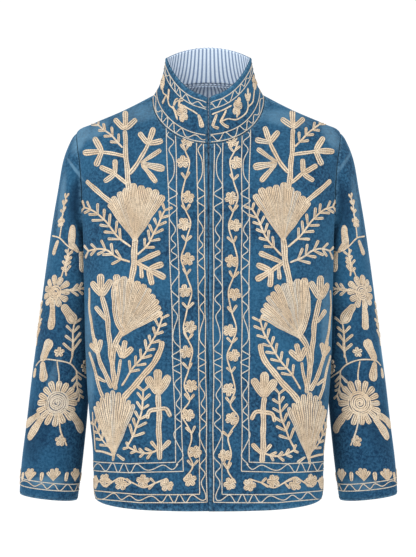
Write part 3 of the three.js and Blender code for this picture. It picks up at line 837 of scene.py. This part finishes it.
def toward(turn):
    """Step of one square at a turn in degrees, clockwise from up."""
    return np.array((math.sin(math.radians(turn)), -math.cos(math.radians(turn))))


def petal(x, y, turn, length, width, bend=0.0, foot=0.6):
    """A rounded leaf from a place at a turn, narrower at its foot, its tip bent to one side."""
    start, step = np.array((x, y), float), toward(turn)
    side = np.array((-step[1], step[0]))
    middle = start + step * length * 0.5 + side * bend * 0.6
    widths = (width * foot, width * (0.46 + 0.6 * foot), width, width * 1.02)
    return stroke([start, middle, start + step * length + side * bend], widths)


def lobed_leaf(x, y, turn, size, spread):
    """Three rounded lobes from one place, the middle one the longest."""
    return [
        petal(x, y, turn + spread * side, size * length, size * 0.35, side * 0.6, 0.78)
        for side, length in ((-1, 0.86), (1, 0.9), (0, 1.04))
    ]


def fern(points, leaflets, length, width=2.3):
    """A thin stem with rounded leaflets in pairs, leaning towards its tip."""
    line = curve(points, 1.0)
    strokes = [stroke(points, (width, width * 0.9))]
    for place in np.linspace(0.2, 0.97, leaflets):
        at = min(int(place * (len(line) - 1)), len(line) - 2)
        ahead = line[at + 1] - line[at]
        turn = math.degrees(math.atan2(ahead[0], -ahead[1]))
        size = length * (1.25 - 0.35 * place)
        for side in (-1, 1):
            lean = side * rng.uniform(40, 52)
            strokes.append(petal(*line[at], turn + lean, size * rng.uniform(0.85, 1.1), 3.0, -side * 0.6))
    return strokes


def fan(x, y, low, high, radii, fingers, pointed=False):
    """A flower like an open fan: fingers side by side from its foot, with a scalloped or jagged upper edge."""
    strokes = []
    for place in range(fingers):
        share = (place + 0.5) / fingers
        turn = low + (high - low) * share
        radius = np.interp(share, (0, 0.5, 1), radii) * rng.uniform(0.98, 1.02)
        width = 2 * radius * math.sin(math.radians((high - low) / fingers / 2)) * 1.04
        tip = np.array((x, y)) + toward(turn) * radius
        bulge = np.array((x, y)) + toward(turn) * radius * 0.6
        ends = (0.12, 0.32, 0.54, 0.77, 1.0, 0.85) if pointed else (0.12, 0.32, 0.54, 0.76, 1.0)
        strokes.append(stroke([(x, y), bulge, tip], [width * end for end in ends], rng.uniform(-0.2, 0.2)))
    return strokes


def spiral(x, y, radius):
    """A round centre worked in one row that winds inwards."""
    turns = np.arange(0, 2 * math.pi * radius / ROW_WIDTH, 1.2 / max(radius * 0.6, 1))
    reach = np.maximum(radius - ROW_WIDTH / 2 - turns * ROW_WIDTH / (2 * math.pi), 0.25)
    places = np.stack([x + reach * np.cos(turns), y + reach * np.sin(turns)], -1)
    return stroke(places, (ROW_WIDTH, ROW_WIDTH), rounded=False)


def daisy(x, y, radius, petals, core, start=0.0):
    """A flower with round petals about a wound centre."""
    strokes = []
    for place in range(petals):
        turn = start + 360 * place / petals
        foot = np.array((x, y)) + toward(turn) * core * 0.8
        width = 2 * math.pi * (core + radius) / 2 / petals * 0.92
        strokes.append(petal(*foot, turn, radius * rng.uniform(0.93, 1.05) - core * 0.8, width))
    return [*strokes, spiral(x, y, core)]


def small_flower(x, y, radius=6.2, start=0.0):
    """A five-lobed vine flower."""
    strokes = []
    for place in range(5):
        turn = start + 72 * place + rng.uniform(-6, 6)
        foot = np.array((x, y)) + toward(turn) * 0.6
        strokes.append(petal(*foot, turn, radius - 0.6, radius * 0.92))
    return [*strokes, spiral(x, y, radius * 0.3)]


def vine(flowers, across, bulge=6.5, leaf=8.5):
    """A winding stem that passes beside each flower in turn, with a pair of small leaves between flowers. The
    flowers are places along the vine and off its middle line; across says which of the two is x."""
    strokes, line = [], []

    def place(along, off):
        return (off, along) if across else (along, off)

    middle = np.mean([off for _, off in flowers])
    for number, (along, off) in enumerate(flowers):
        side = 1 if off < middle else -1
        line.append(place(along, off + side * bulge))
        strokes += small_flower(*place(along, off), 6.5, rng.uniform(0, 72))
        if number + 1 < len(flowers):
            next_along, next_off = flowers[number + 1]
            between = (along + next_along) / 2
            line.append(place(between, (off + next_off) / 2))
            for lean in (-1, 1):
                step = place(-0.85, lean * 0.62)
                turn = math.degrees(math.atan2(step[0], -step[1]))
                start = place(between, (off + next_off) / 2)
                strokes.append(petal(*start, turn + rng.uniform(-12, 12), leaf * rng.uniform(0.85, 1.1), 2.8))
    return [stroke(line, (1.7, 1.7)), *strokes]


def straight(points, step=1.2):
    """Straight runs through points, with a place about every step squares."""
    points = np.array(points, float)
    length = np.append(0, np.cumsum(np.linalg.norm(np.diff(points, axis=0), axis=1)))
    even = np.linspace(0, length[-1], int(length[-1] / step) + 2)
    return np.stack([np.interp(even, length, points[:, axis]) for axis in (0, 1)], -1)


def band(first, second, wave_length=19.0, tone=0.65):
    """Two lines of one row with an uneven wave between them, in the greyer thread. Both lines are lists of
    places, with a corner wherever the other one has a corner."""
    first, second = np.array(first, float), np.array(second, float)
    wander = np.array((0.4, 0.3))
    low, high = straight(first), straight(second)
    middle = straight((first + second) / 2, 0.9)
    ahead = unit(np.gradient(middle, axis=0))
    side = np.stack([-ahead[:, 1], ahead[:, 0]], -1)
    arc = np.append(0, np.cumsum(np.linalg.norm(np.diff(middle, axis=0), axis=1)))
    gap = np.linalg.norm(first - second, axis=1).mean()
    phase = arc / wave_length + 0.35 * np.sin(arc / 23.0) + 0.2 * np.sin(arc / 8.7 + 1.0)
    swing = gap * np.sin(2 * math.pi * phase) * (0.36 + 0.14 * np.sin(arc / 13.0))
    wave = middle + side * swing[:, None]
    strokes = []
    for line in (low, wave, high):
        sway = np.stack([np.sin(line[:, 1] / 17.0 + line[0, 0]), np.sin(line[:, 0] / 15.0 + line[0, 1])], -1)
        strokes.append((line + sway * wander, np.full(len(line), 0.55), 1, tone))
    return strokes


def flipped(strokes):
    """The same strokes on the other side of the centre line."""
    return [
        (np.stack([2 * CENTRE - path[:, 0], path[:, 1]], -1), half, rows, tone) for path, half, rows, tone in strokes
    ]


LINK_LENGTH = 2.0
SUNK, TOP_SHARE = 0.12, 0.55
LONGEST_STEP = 6


def stitches(name, charts_and_strokes):
    """One mesh of all rows. A row is a low arch of three faces that lies on the cloth, with its ends closed."""
    points, normals, runs = [], [], []
    halves, ids, tones, domes, arcs = [], [], [], [], []
    row_id = 0
    for chart, strokes in charts_and_strokes:
        places = []
        for path, half, rows, tone in strokes:
            ahead = unit(np.gradient(path, axis=0))
            side = np.stack([-ahead[:, 1], ahead[:, 0]], -1)
            arc = np.append(0, np.cumsum(np.linalg.norm(np.diff(path, axis=0), axis=1)))
            for row in range(rows):
                off = (2 * row + 1) / rows - 1
                places.append(path + side * (off * half)[:, None])
                halves.append(half / rows)
                ids.append(np.full(len(path), row_id))
                tones.append(np.full(len(path), tone + rng.uniform(-0.3, 0.5)))
                domes.append(np.full(len(path), 0.45 * (1 - off ** 2) if rows > 1 else 0.0))
                arcs.append(arc + rng.uniform(0, 2))
                row_id += 1
        lifted, normal, on_cloth = chart.lift(np.concatenate(places))
        points.append(lifted)
        normals.append(normal)
        runs.append(on_cloth)
    point, normal, on_cloth = (np.concatenate(values) for values in (points, normals, runs))
    half, number, tone, dome, arc = (np.concatenate(values) for values in (halves, ids, tones, domes, arcs))
    joined = (number[1:] == number[:-1]) & on_cloth[1:] & on_cloth[:-1]
    joined &= np.linalg.norm(point[1:] - point[:-1], axis=-1) < LONGEST_STEP
    before, after = np.append(False, joined), np.append(joined, False)
    keep = before | after
    index = np.arange(len(point))
    ahead = unit(point[np.where(after, index + 1, index)] - point[np.where(before, index - 1, index)])
    side = unit(np.cross(normal, ahead))
    link = 0.5 + 0.5 * np.cos(arc * 2 * math.pi / LINK_LENGTH)
    width = np.maximum(half, 0.22) * SQUARE * (0.9 + 0.14 * link)
    height = (0.7 + 0.2 * link) * np.clip(width / 0.95, 0.45, 1.15) + dome
    ring = np.stack([
        point - side * width[:, None] - normal * SUNK,
        point - side * (TOP_SHARE * width)[:, None] + normal * height[:, None],
        point + side * (TOP_SHARE * width)[:, None] + normal * height[:, None],
        point + side * width[:, None] - normal * SUNK,
    ], 1)
    new_index = np.cumsum(keep) - 1
    start = new_index[index[:-1][joined]] * 4
    faces = [np.stack([start + k, start + k + 1, start + k + 5, start + k + 4], -1) for k in range(3)]
    low_end = new_index[index[after & ~before]] * 4
    high_end = new_index[index[before & ~after]] * 4
    faces.append(low_end[:, None] + np.array([0, 3, 2, 1]))
    faces.append(high_end[:, None] + np.array([0, 1, 2, 3]))
    faces = np.concatenate(faces)
    mesh = bpy.data.meshes.new(name)
    mesh.from_pydata((ring[keep].reshape(-1, 3) * MM).tolist(), [], faces.tolist())
    normals_out = np.cross(ring[keep][:, 1] - ring[keep][:, 0], ahead[keep])
    if (normals_out * side[keep]).sum() > 0:
        mesh.flip_normals()
    mesh.polygons.foreach_set("use_smooth", np.ones(len(faces), bool))
    corners = np.zeros(len(mesh.loops), int)
    mesh.loops.foreach_get("vertex_index", corners)
    across = np.tile((-1.0, -0.4, 0.4, 1.0), int(keep.sum()))
    along = np.repeat(arc[keep] / LINK_LENGTH, 4)
    mesh.uv_layers.new(name="links").data.foreach_set("uv", np.stack([along[corners], across[corners]], -1).ravel())
    mesh.attributes.new("tone", "FLOAT", "POINT").data.foreach_set("value", np.repeat(tone[keep], 4))
    mesh.materials.append(THREAD)
    piece = bpy.data.objects.new(name, mesh)
    bpy.context.scene.collection.objects.link(piece)
    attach(piece, "root")
    return piece


def thread_material():
    """Cream cotton in chain links, with paler and greyer rows, a few grey flecks, and painted shade along the rows'
    edges and between the links.
    """
    graph = Graph("thread")
    place = graph.coordinate("Object")
    tone = graph.attribute("tone")
    along, across, _ = graph.parts(graph.node("ShaderNodeUVMap", {"uv_map": "links"}, {}).outputs[0])
    slant = (along + across.math("ABSOLUTE", across) * 0.45).fraction()
    furrow = slant.step(0.0, 0.35) - slant.step(0.65, 1.0)
    fleck = graph.noise(place, 270.0, 3.0, 0.65).step(0.5, 0.64)
    cloudy = graph.noise(place, 35.0, 2.0)
    warm = graph.mix(cloudy.step(0.35, 0.7), colour(208, 186, 158), colour(224, 206, 180))
    base = graph.mix(tone.step(0.15, 0.75), warm, colour(202, 196, 184))
    base = graph.mix(fleck * 0.5, base, colour(140, 126, 110))
    # Painted shade along the rows' edges and between the links.
    painted_row_shade = across.math("ABSOLUTE", across).step(0.5, 1.0)
    base = graph.mix(painted_row_shade * 0.75 + (1 - furrow) * 0.25, base, colour(112, 94, 78))
    graph.fill(graph.shader, {
        "Base Color": base,
        "Roughness": 0.8,
        "Specular IOR Level": 0.25,
        "Normal": graph.bump(furrow + graph.noise(place, 1500.0) * 0.4, 0.6, 0.0005),
    })
    return graph.material


THREAD = thread_material()

STEMS = (
    (4.6, 5.8, (125, 130), (126, 156), (129, 190)),
    (3.8, 3.8, (102, 152), (125, 156)),
    (4.6, 4.2, (129, 174), (138, 163), (144, 152), (148, 144)),
    (3.8, 3.8, (115, 174), (127, 184)),
    (5.2, 5.0, (85, 181), (112, 203)),
    (6.4, 6.0, (135, 238), (134, 262), (131, 284)),
    (6.0, 4.8, (123, 330), (114, 348), (113, 371), (116, 390)),
    (5.6, 4.6, (102, 296), (105, 306), (108, 322), (110, 346), (113, 371)),
    (2.4, 5.0, (88, 288), (88, 308), (91, 326), (96, 346), (102, 366), (112, 388)),
    (3.0, 3.8, (87, 352), (93, 364), (97, 380), (103, 397)),
    (3.2, 3.2, (121, 359), (116, 386)),
    (5.6, 6.4, (162, 341), (160, 352), (149, 369), (134, 386), (123, 399)),
    (5.6, 5.6, (158, 394), (159, 410), (159, 435), (160, 460)),
    (4.4, 4.4, (147, 419), (150, 411), (158, 409), (166, 409), (171, 417)),
    (2.6, 2.6, (92, 451), (103, 452), (113, 455)),
    (2.2, 2.2, (90, 412), (91, 432), (92, 451)),
    (3.0, 2.4, (114, 450), (113, 461)),
    (4.0, 4.4, (136, 262), (150, 270)),
    (6.0, 7.0, (116.5, 278), (114.6, 296), (117, 318), (124, 333)),
)
PETALS = (
    (141, 163, 57, 24, 4.8), (141, 164, 101, 24, 7.4), (142, 165, 140, 23, 5.4), (137, 262, 67, 25, 5.6),
    (141, 263, 178, 15, 4.6), (106, 320, -38, 17, 5.0), (106, 382, -60, 12, 4.2), (161, 451, 40, 14, 5.0),
    (158, 450, -38, 11, 4.0), (117, 454, 128, 10, 3.4),
)
LEAVES = (
    (125, 129, 2, 17, 47), (102, 152, -92, 18, 62), (148, 144, 20, 17, 54), (115, 174, -63, 16, 60),
    (149, 269, 120, 18, 48), (102, 296, -4, 21, 31), (98, 353, -16, 15, 26), (122, 358, 12, 17, 31),
    (158, 394, 0, 24, 30),
)
FERNS = (
    (4, 8.0, (123, 148), (112, 136), (104, 130), (97, 124)),
    (7, 11.0, (131, 247), (120, 239), (112, 229), (104, 220), (94, 211), (80, 207)),
    (6, 9.5, (137, 255), (149, 243), (155, 231), (160, 220), (166, 209)),
    (5, 10.0, (130, 262), (117, 257), (108, 251), (98, 249), (86, 251)),
    (8, 10.0, (122, 386), (130, 372), (140, 360), (150, 345), (158, 330), (163, 316)),
    (6, 10.5, (127, 447), (134, 433), (140, 417), (143, 401), (143, 389)),
    (4, 8.0, (112, 450), (101, 438), (93, 424)),
    (4, 7.0, (158, 450), (148, 453), (138, 452), (128, 447)),
)


def field():
    """The big plant of one front: trunk and stems, lobed leaves, ferns, two fan flowers and a jagged pot."""
    strokes = []
    for leaflets, length, *points in FERNS:
        strokes += fern(points, leaflets, length)
    strokes += [stroke(points, (start, end)) for start, end, *points in STEMS]
    strokes += [petal(*row) for row in PETALS]
    for row in LEAVES:
        strokes += lobed_leaf(*row)
    strokes += fan(135, 242, -38, 35, (46, 58, 55), 9)
    strokes += fan(122, 336, -9, 63, (62, 56, 45), 10)
    strokes += fan(114, 457, -25, 23, (52, 68, 55), 9, pointed=True)
    return strokes


def moved(strokes, upper, lower):
    """The strokes moved by one step above the waist and by another below it."""
    result = []
    for path, half, rows, tone in strokes:
        share = smooth((path[:, 1:] - 220) / 90)
        result.append((path + np.array(upper) * (1 - share) + np.array(lower) * share, half, rows, tone))
    return result


VINE_FLOWERS = (
    (140, 188), (162, 183), (197, 188), (224, 184), (259, 188), (291, 185), (327, 190), (352, 186), (386, 191),
    (415, 188), (452, 195), (480, 190),
)
HEM_FLOWERS = ((167, 485), (143, 481), (121, 484), (104, 480), (88, 482), (70, 485), (52, 480))


HEM_LINES = ((130, 464), (84, 461), (0, 458)), ((130, 473), (84, 470), (0, 467))


def border(outer_x, inner_x, upper=(0, 0), lower=(0, 0)):
    """The bands and vines of one front, along its opening edge and its hem. The upright vine may be moved."""
    (a_top, a_low, b_top, b_low), (c_top, c_low, d_top, d_low) = outer_x, inner_x
    strokes = band(
        [(a_top, 96), (a_low, 462), *HEM_LINES[0]], [(b_top, 96), (b_low, 471), *HEM_LINES[1]],
    )
    strokes += band(
        [(c_top, 96), (c_low, 494), (140, 495), (100, 491), (0, 486)],
        [(d_top, 96), (d_low, 502), (140, 503), (100, 499), (0, 494)],
    )
    return strokes + moved(vine(VINE_FLOWERS, True), upper, lower) + vine(HEM_FLOWERS, False)


LET_OUT = 0.75


def body_chart(outer, side):
    """Chart of a front, side 1, or the back, side -1. Its places are as seen from there, but let out where the
    cloth turns away at the sides: a step along a row is at least a share of its own length."""
    flat = seen(outer, side)
    step = np.diff(flat[..., 0], axis=1)
    length = np.linalg.norm(np.diff(outer, axis=1), axis=-1) / SQUARE
    turning = smooth((-70 - outer[:, 1:, 2]) / 70) * LET_OUT
    direction = np.sign(flat[0, -1, 0] - flat[0, 0, 0])
    step = np.maximum(step * direction, length * turning) * direction
    middle = int(np.abs(flat[0, :, 0] - CENTRE).argmin())
    along = np.concatenate([0 * step[:, :1], np.cumsum(step, axis=1)], axis=1)
    flat[..., 0] = along - along[:, middle:middle + 1] + flat[:, middle:middle + 1, 0]
    return Chart(outer, flat)


right_chart, left_chart = body_chart(FRONT_RIGHT_GRID[0], 1), body_chart(FRONT_LEFT_GRID[0], 1)
back_chart = body_chart(BACK_GRID[0], -1)

front_right_stitches = stitches("stitches_front_right", [
    (right_chart, field() + border((165.5, 176, 174.5, 183), (196.5, 200, 203.5, 207))),
])
front_left_stitches = stitches("stitches_front_left", [
    (left_chart, flipped(
        moved(field(), (-1.5, -1.0), (-6.0, 3.0))
        + border((166.5, 167.5, 174.5, 174.5), (193.5, 194, 202.5, 203), (-3.0, 1.0), (-3.5, 3.5))
    )),
])

# The back has only the border along its hem, in line with the fronts' at the side seams.

hem_border = band([(CENTRE, 464), *HEM_LINES[0]], [(CENTRE, 473), *HEM_LINES[1]])
hem_border += band(
    [(CENTRE, 494), (140, 494), (100, 491), (0, 486)], [(CENTRE, 502), (140, 502), (100, 499), (0, 494)],
)
hem_border += vine(((204, 483), (186, 480), *HEM_FLOWERS), False)
back_stitches = stitches("stitches_back", [(back_chart, hem_border + flipped(hem_border))])

# The sleeves' embroidery. Its places are squares outward from the middle of the sleeve's front, and down as on
# the rest of the grid, so that each motif wraps round the sleeve.


def sleeve_chart(outer):
    """Chart of a sleeve: across is the length of cloth from the front line, plus towards the outside, and down is
    the height as seen from in front."""
    closed = np.concatenate([outer, outer[:, :1]], axis=1)
    front = HALF_TURN_STEPS // 2
    length = np.linalg.norm(np.diff(closed, axis=1), axis=-1) / SQUARE
    across = np.concatenate([0 * length[:, :1], np.cumsum(length, axis=1)], axis=1)
    across -= across[:, front:front + 1]
    return Chart(closed, np.stack([across, seen(closed)[..., 1]], -1))


SLEEVE_STEMS = (
    (1.7, 1.7, (17, 206), (15, 222), (14, 238)),
    (1.7, 1.7, (30, 236), (14, 238), (0, 248), (-14, 252), (-30, 250)),
    (1.7, 1.7, (2, 248), (4, 264), (9, 282)),
    (1.7, 1.7, (24, 296), (2, 291), (-10, 288), (-22, 290), (-34, 286)),
    (1.7, 1.7, (30, 366), (20, 360), (4, 360), (-10, 364), (-20, 372), (-34, 378)),
    (1.7, 1.7, (3, 361), (0, 376), (-1, 388)),
    (1.7, 1.7, (-10, 364), (-12, 350), (-11, 338)),
    (1.9, 1.9, (-3, 412), (-7, 430), (-15, 446)),
)
SLEEVE_PETALS = (
    (-1, 249, -6, 24, 10.5), (-11, 252, 46, 12, 6.0), (16, 240, 160, 16, 6.0), (-13, 252, 190, 20, 8.0),
    (14, 305, 182, 25, 8.4), (3, 305, 218, 22, 10.5), (21, 361, -22, 23, 11.0), (20, 362, 196, 20, 9.5),
    (16, 414, 118, 26, 9.0), (12, 416, 146, 28, 9.5), (-16, 412, 222, 27, 10.0), (30, 368, 176, 10, 5.5),
)
SLEEVE_FERNS = (
    (3, 6.5, (15, 216), (17, 207), (17, 197)),
    (4, 7.0, (2, 276), (3, 266), (1, 254)),
    (3, 8.0, (0, 291), (-10, 290), (-19, 287)),
    (4, 11.0, (-12, 358), (-11, 346), (-10, 334), (-11, 322)),
    (4, 8.0, (-18, 370), (-20, 384), (-25, 396)),
    (5, 9.0, (-34, 330), (-36, 316), (-34, 304), (-35, 292)),
    (5, 9.0, (36, 346), (38, 332), (36, 318), (38, 306)),
)


def sleeve_design():
    """Stems with leaves and ferns, three round flowers, and the cuff's tulips and band."""
    strokes = [stroke(points, (start, end)) for start, end, *points in SLEEVE_STEMS]
    strokes += [petal(*row) for row in SLEEVE_PETALS]
    for leaflets, length, *points in SLEEVE_FERNS:
        strokes += fern(points, leaflets, length)
    strokes += small_flower(16, 222, 5.5) + small_flower(2, 352, 5.0) + small_flower(-8, 441, 5.5)
    strokes += daisy(13, 292, 17.0, 11, 8.6, 10.0) + daisy(-1, 403, 22.5, 16, 13.5)
    strokes += daisy(-31, 366, 8.0, 8, 4.0) + daisy(-31, 262, 8.0, 7, 3.6)
    for across in range(-84, 92, 25):
        strokes += fan(across + 4, 481, -46, 46, (10.5, 13.5, 10.5), 4)
        strokes.append(petal(across + 16, 481, rng.uniform(-8, 8), 9, 4.6))
    return strokes


def cuff_band(chart):
    """Two lines and a wave at a steady distance from the cuff's edge, all round."""
    edge = chart.flat[-(2 * HALF_TURN_STEPS + 1):]
    line = edge[np.argsort(edge[:, 0])][::4]
    return band(line - (0, 16.5), line - (0, 9.5), 15.0)


sleeve_right_chart, sleeve_left_chart = sleeve_chart(SLEEVE_RIGHT_GRID[0]), sleeve_chart(SLEEVE_LEFT_GRID[0])
sleeve_right_stitches = stitches("stitches_sleeve_right", [
    (sleeve_right_chart, sleeve_design() + cuff_band(sleeve_right_chart)),
])
sleeve_left_stitches = stitches("stitches_sleeve_left", [
    (sleeve_left_chart, sleeve_design() + cuff_band(sleeve_left_chart)),
])

# The collar's embroidery: a band along the seam, another below the rolled edge and a vine between. Its places are
# squares along the collar from the opening edge at the viewer's right, and up from the seam.

COLLAR_HEIGHT = 44.0


def collar_chart(outer):
    """Chart of the collar: across is the length along its middle row, and up a share of its height."""
    rows = outer.shape[0]
    middle = outer[rows // 2]
    length = np.append(0, np.cumsum(np.linalg.norm(np.diff(middle, axis=0), axis=-1))) / SQUARE
    up = COLLAR_HEIGHT * crowded(30)
    across, up = np.broadcast_arrays(length[None, :], up[:, None])
    return Chart(outer, np.stack([across, up], -1)), length[-1]


collar_places, COLLAR_LENGTH = collar_chart(COLLAR_GRID[0])


COLLAR_SPRIGS = (
    (0, 3.4, 2.6, (5.5, 16), (10.5, 26)),
    (0, 2.0, 3.6, (5.5, 16), (11.5, 12.5)),
    (0, 1.7, 1.7, (5, 27), (16, 27.5), (28, 28)),
    (0, 2.2, 2.6, (21, 27), (15, 20), (14, 17)),
    (0, 2.6, 3.4, (14, 18), (18, 14), (22, 11)),
    (0, 1.7, 1.7, (14, 18), (22, 18.5), (33, 14), (46, 12.5), (52, 15), (54, 20)),
    (0, 1.7, 2.4, (33, 15), (35, 20)),
    (0, 3.0, 2.8, (54, 19), (50.5, 27)),
    (0, 3.4, 3.0, (54, 19), (58, 28)),
    (0, 3.0, 3.0, (54, 19), (62, 22)),
    (0, 1.7, 1.7, (52, 15), (62, 14), (70, 17), (78, 20)),
    (1, 3.2, 5.6, (12.6, 25.5), (9.5, 20), (7.6, 14)),
    (1, 1.7, 1.9, (12.6, 25), (19, 26.5), (31, 27)),
    (1, 2.4, 3.2, (37, 22), (36, 28), (31.5, 31)),
    (1, 3.0, 3.6, (45, 20), (43, 25), (39, 28)),
    (1, 2.2, 2.8, (36, 12), (41, 16), (46, 19)),
    (1, 1.7, 1.7, (38, 18), (46, 17.5), (53, 16.5), (60, 20), (70, 18), (78, 21)),
    (1, 2.2, 3.4, (56, 17.5), (58, 27)),
    (1, 2.2, 3.4, (62, 19.5), (66, 11)),
)


def collar_design():
    """The bands all round, from each opening edge a vine with a bud or a sprig and a flower, and a vine behind."""
    ends = (4.0, COLLAR_LENGTH - 4.0)
    strokes = band([(ends[0], 1.8), (ends[1], 1.8)], [(ends[0], 8.2), (ends[1], 8.2)], 14.0)
    strokes += band([(ends[0], 31.5), (ends[1], 31.5)], [(ends[0], 37.5), (ends[1], 37.5)], 14.0)
    for from_left, start, end, *points in COLLAR_SPRIGS:
        places = [(COLLAR_LENGTH - along if from_left else along, up) for along, up in points]
        strokes.append(stroke(places, (start, end)))
    strokes += small_flower(36, 23, 7.2) + small_flower(COLLAR_LENGTH - 31, 20, 7.4)
    back_flowers = np.linspace(78, COLLAR_LENGTH - 78, 5)
    return strokes + vine([(along, 17 if number % 2 else 23) for number, along in enumerate(back_flowers)], False)


collar_stitches = stitches("stitches_collar", [(collar_places, collar_design())])

# The studio: a pale floor under the jacket, a white surround, soft lamps and the camera.

floor_mesh = bpy.data.meshes.new("floor")
spread, floor_height = 9.0, -0.95
floor_mesh.from_pydata(
    [(x * spread, y * spread, floor_height) for x, y in ((-1, -1), (1, -1), (1, 1), (-1, 1))], [], [(0, 1, 2, 3)],
)
floor = bpy.data.objects.new("floor", floor_mesh)
bpy.context.scene.collection.objects.link(floor)
floor_graph = Graph("floor")
floor_graph.fill(floor_graph.shader, {"Base Color": (0.96, 0.96, 0.96, 1.0), "Roughness": 0.9})
floor_mesh.materials.append(floor_graph.material)

world = bpy.data.worlds.new("studio")
world.use_nodes = True
world.node_tree.nodes["Background"].inputs["Color"].default_value = (1.0, 1.0, 1.0, 1.0)
world.node_tree.nodes["Background"].inputs["Strength"].default_value = 1.08
bpy.context.scene.world = world


def lamp(name, place, size, power):
    """A square area lamp aimed at the middle of the jacket."""
    data = bpy.data.lights.new(name, "AREA")
    data.size = size
    data.energy = power
    holder = bpy.data.objects.new(name, data)
    holder.location = place
    holder.rotation_euler = (Vector((0, 0, -0.3)) - Vector(place)).to_track_quat("-Z", "Y").to_euler()
    bpy.context.scene.collection.objects.link(holder)


lamp("key", (-1.5, -2.2, 1.6), 1.1, 42)
lamp("fill", (1.7, -1.6, 0.3), 1.6, 8)

camera_data = bpy.data.cameras.new("camera")
camera_data.sensor_width = 36
camera_data.lens = 95.0
camera = bpy.data.objects.new("camera", camera_data)
camera.location = (-0.0008, -2.5, -0.2996)
camera.rotation_euler = (QUARTER, 0, 0)
bpy.context.scene.collection.objects.link(camera)
bpy.context.scene.camera = camera
bpy.context.scene.view_settings.view_transform = "Standard"
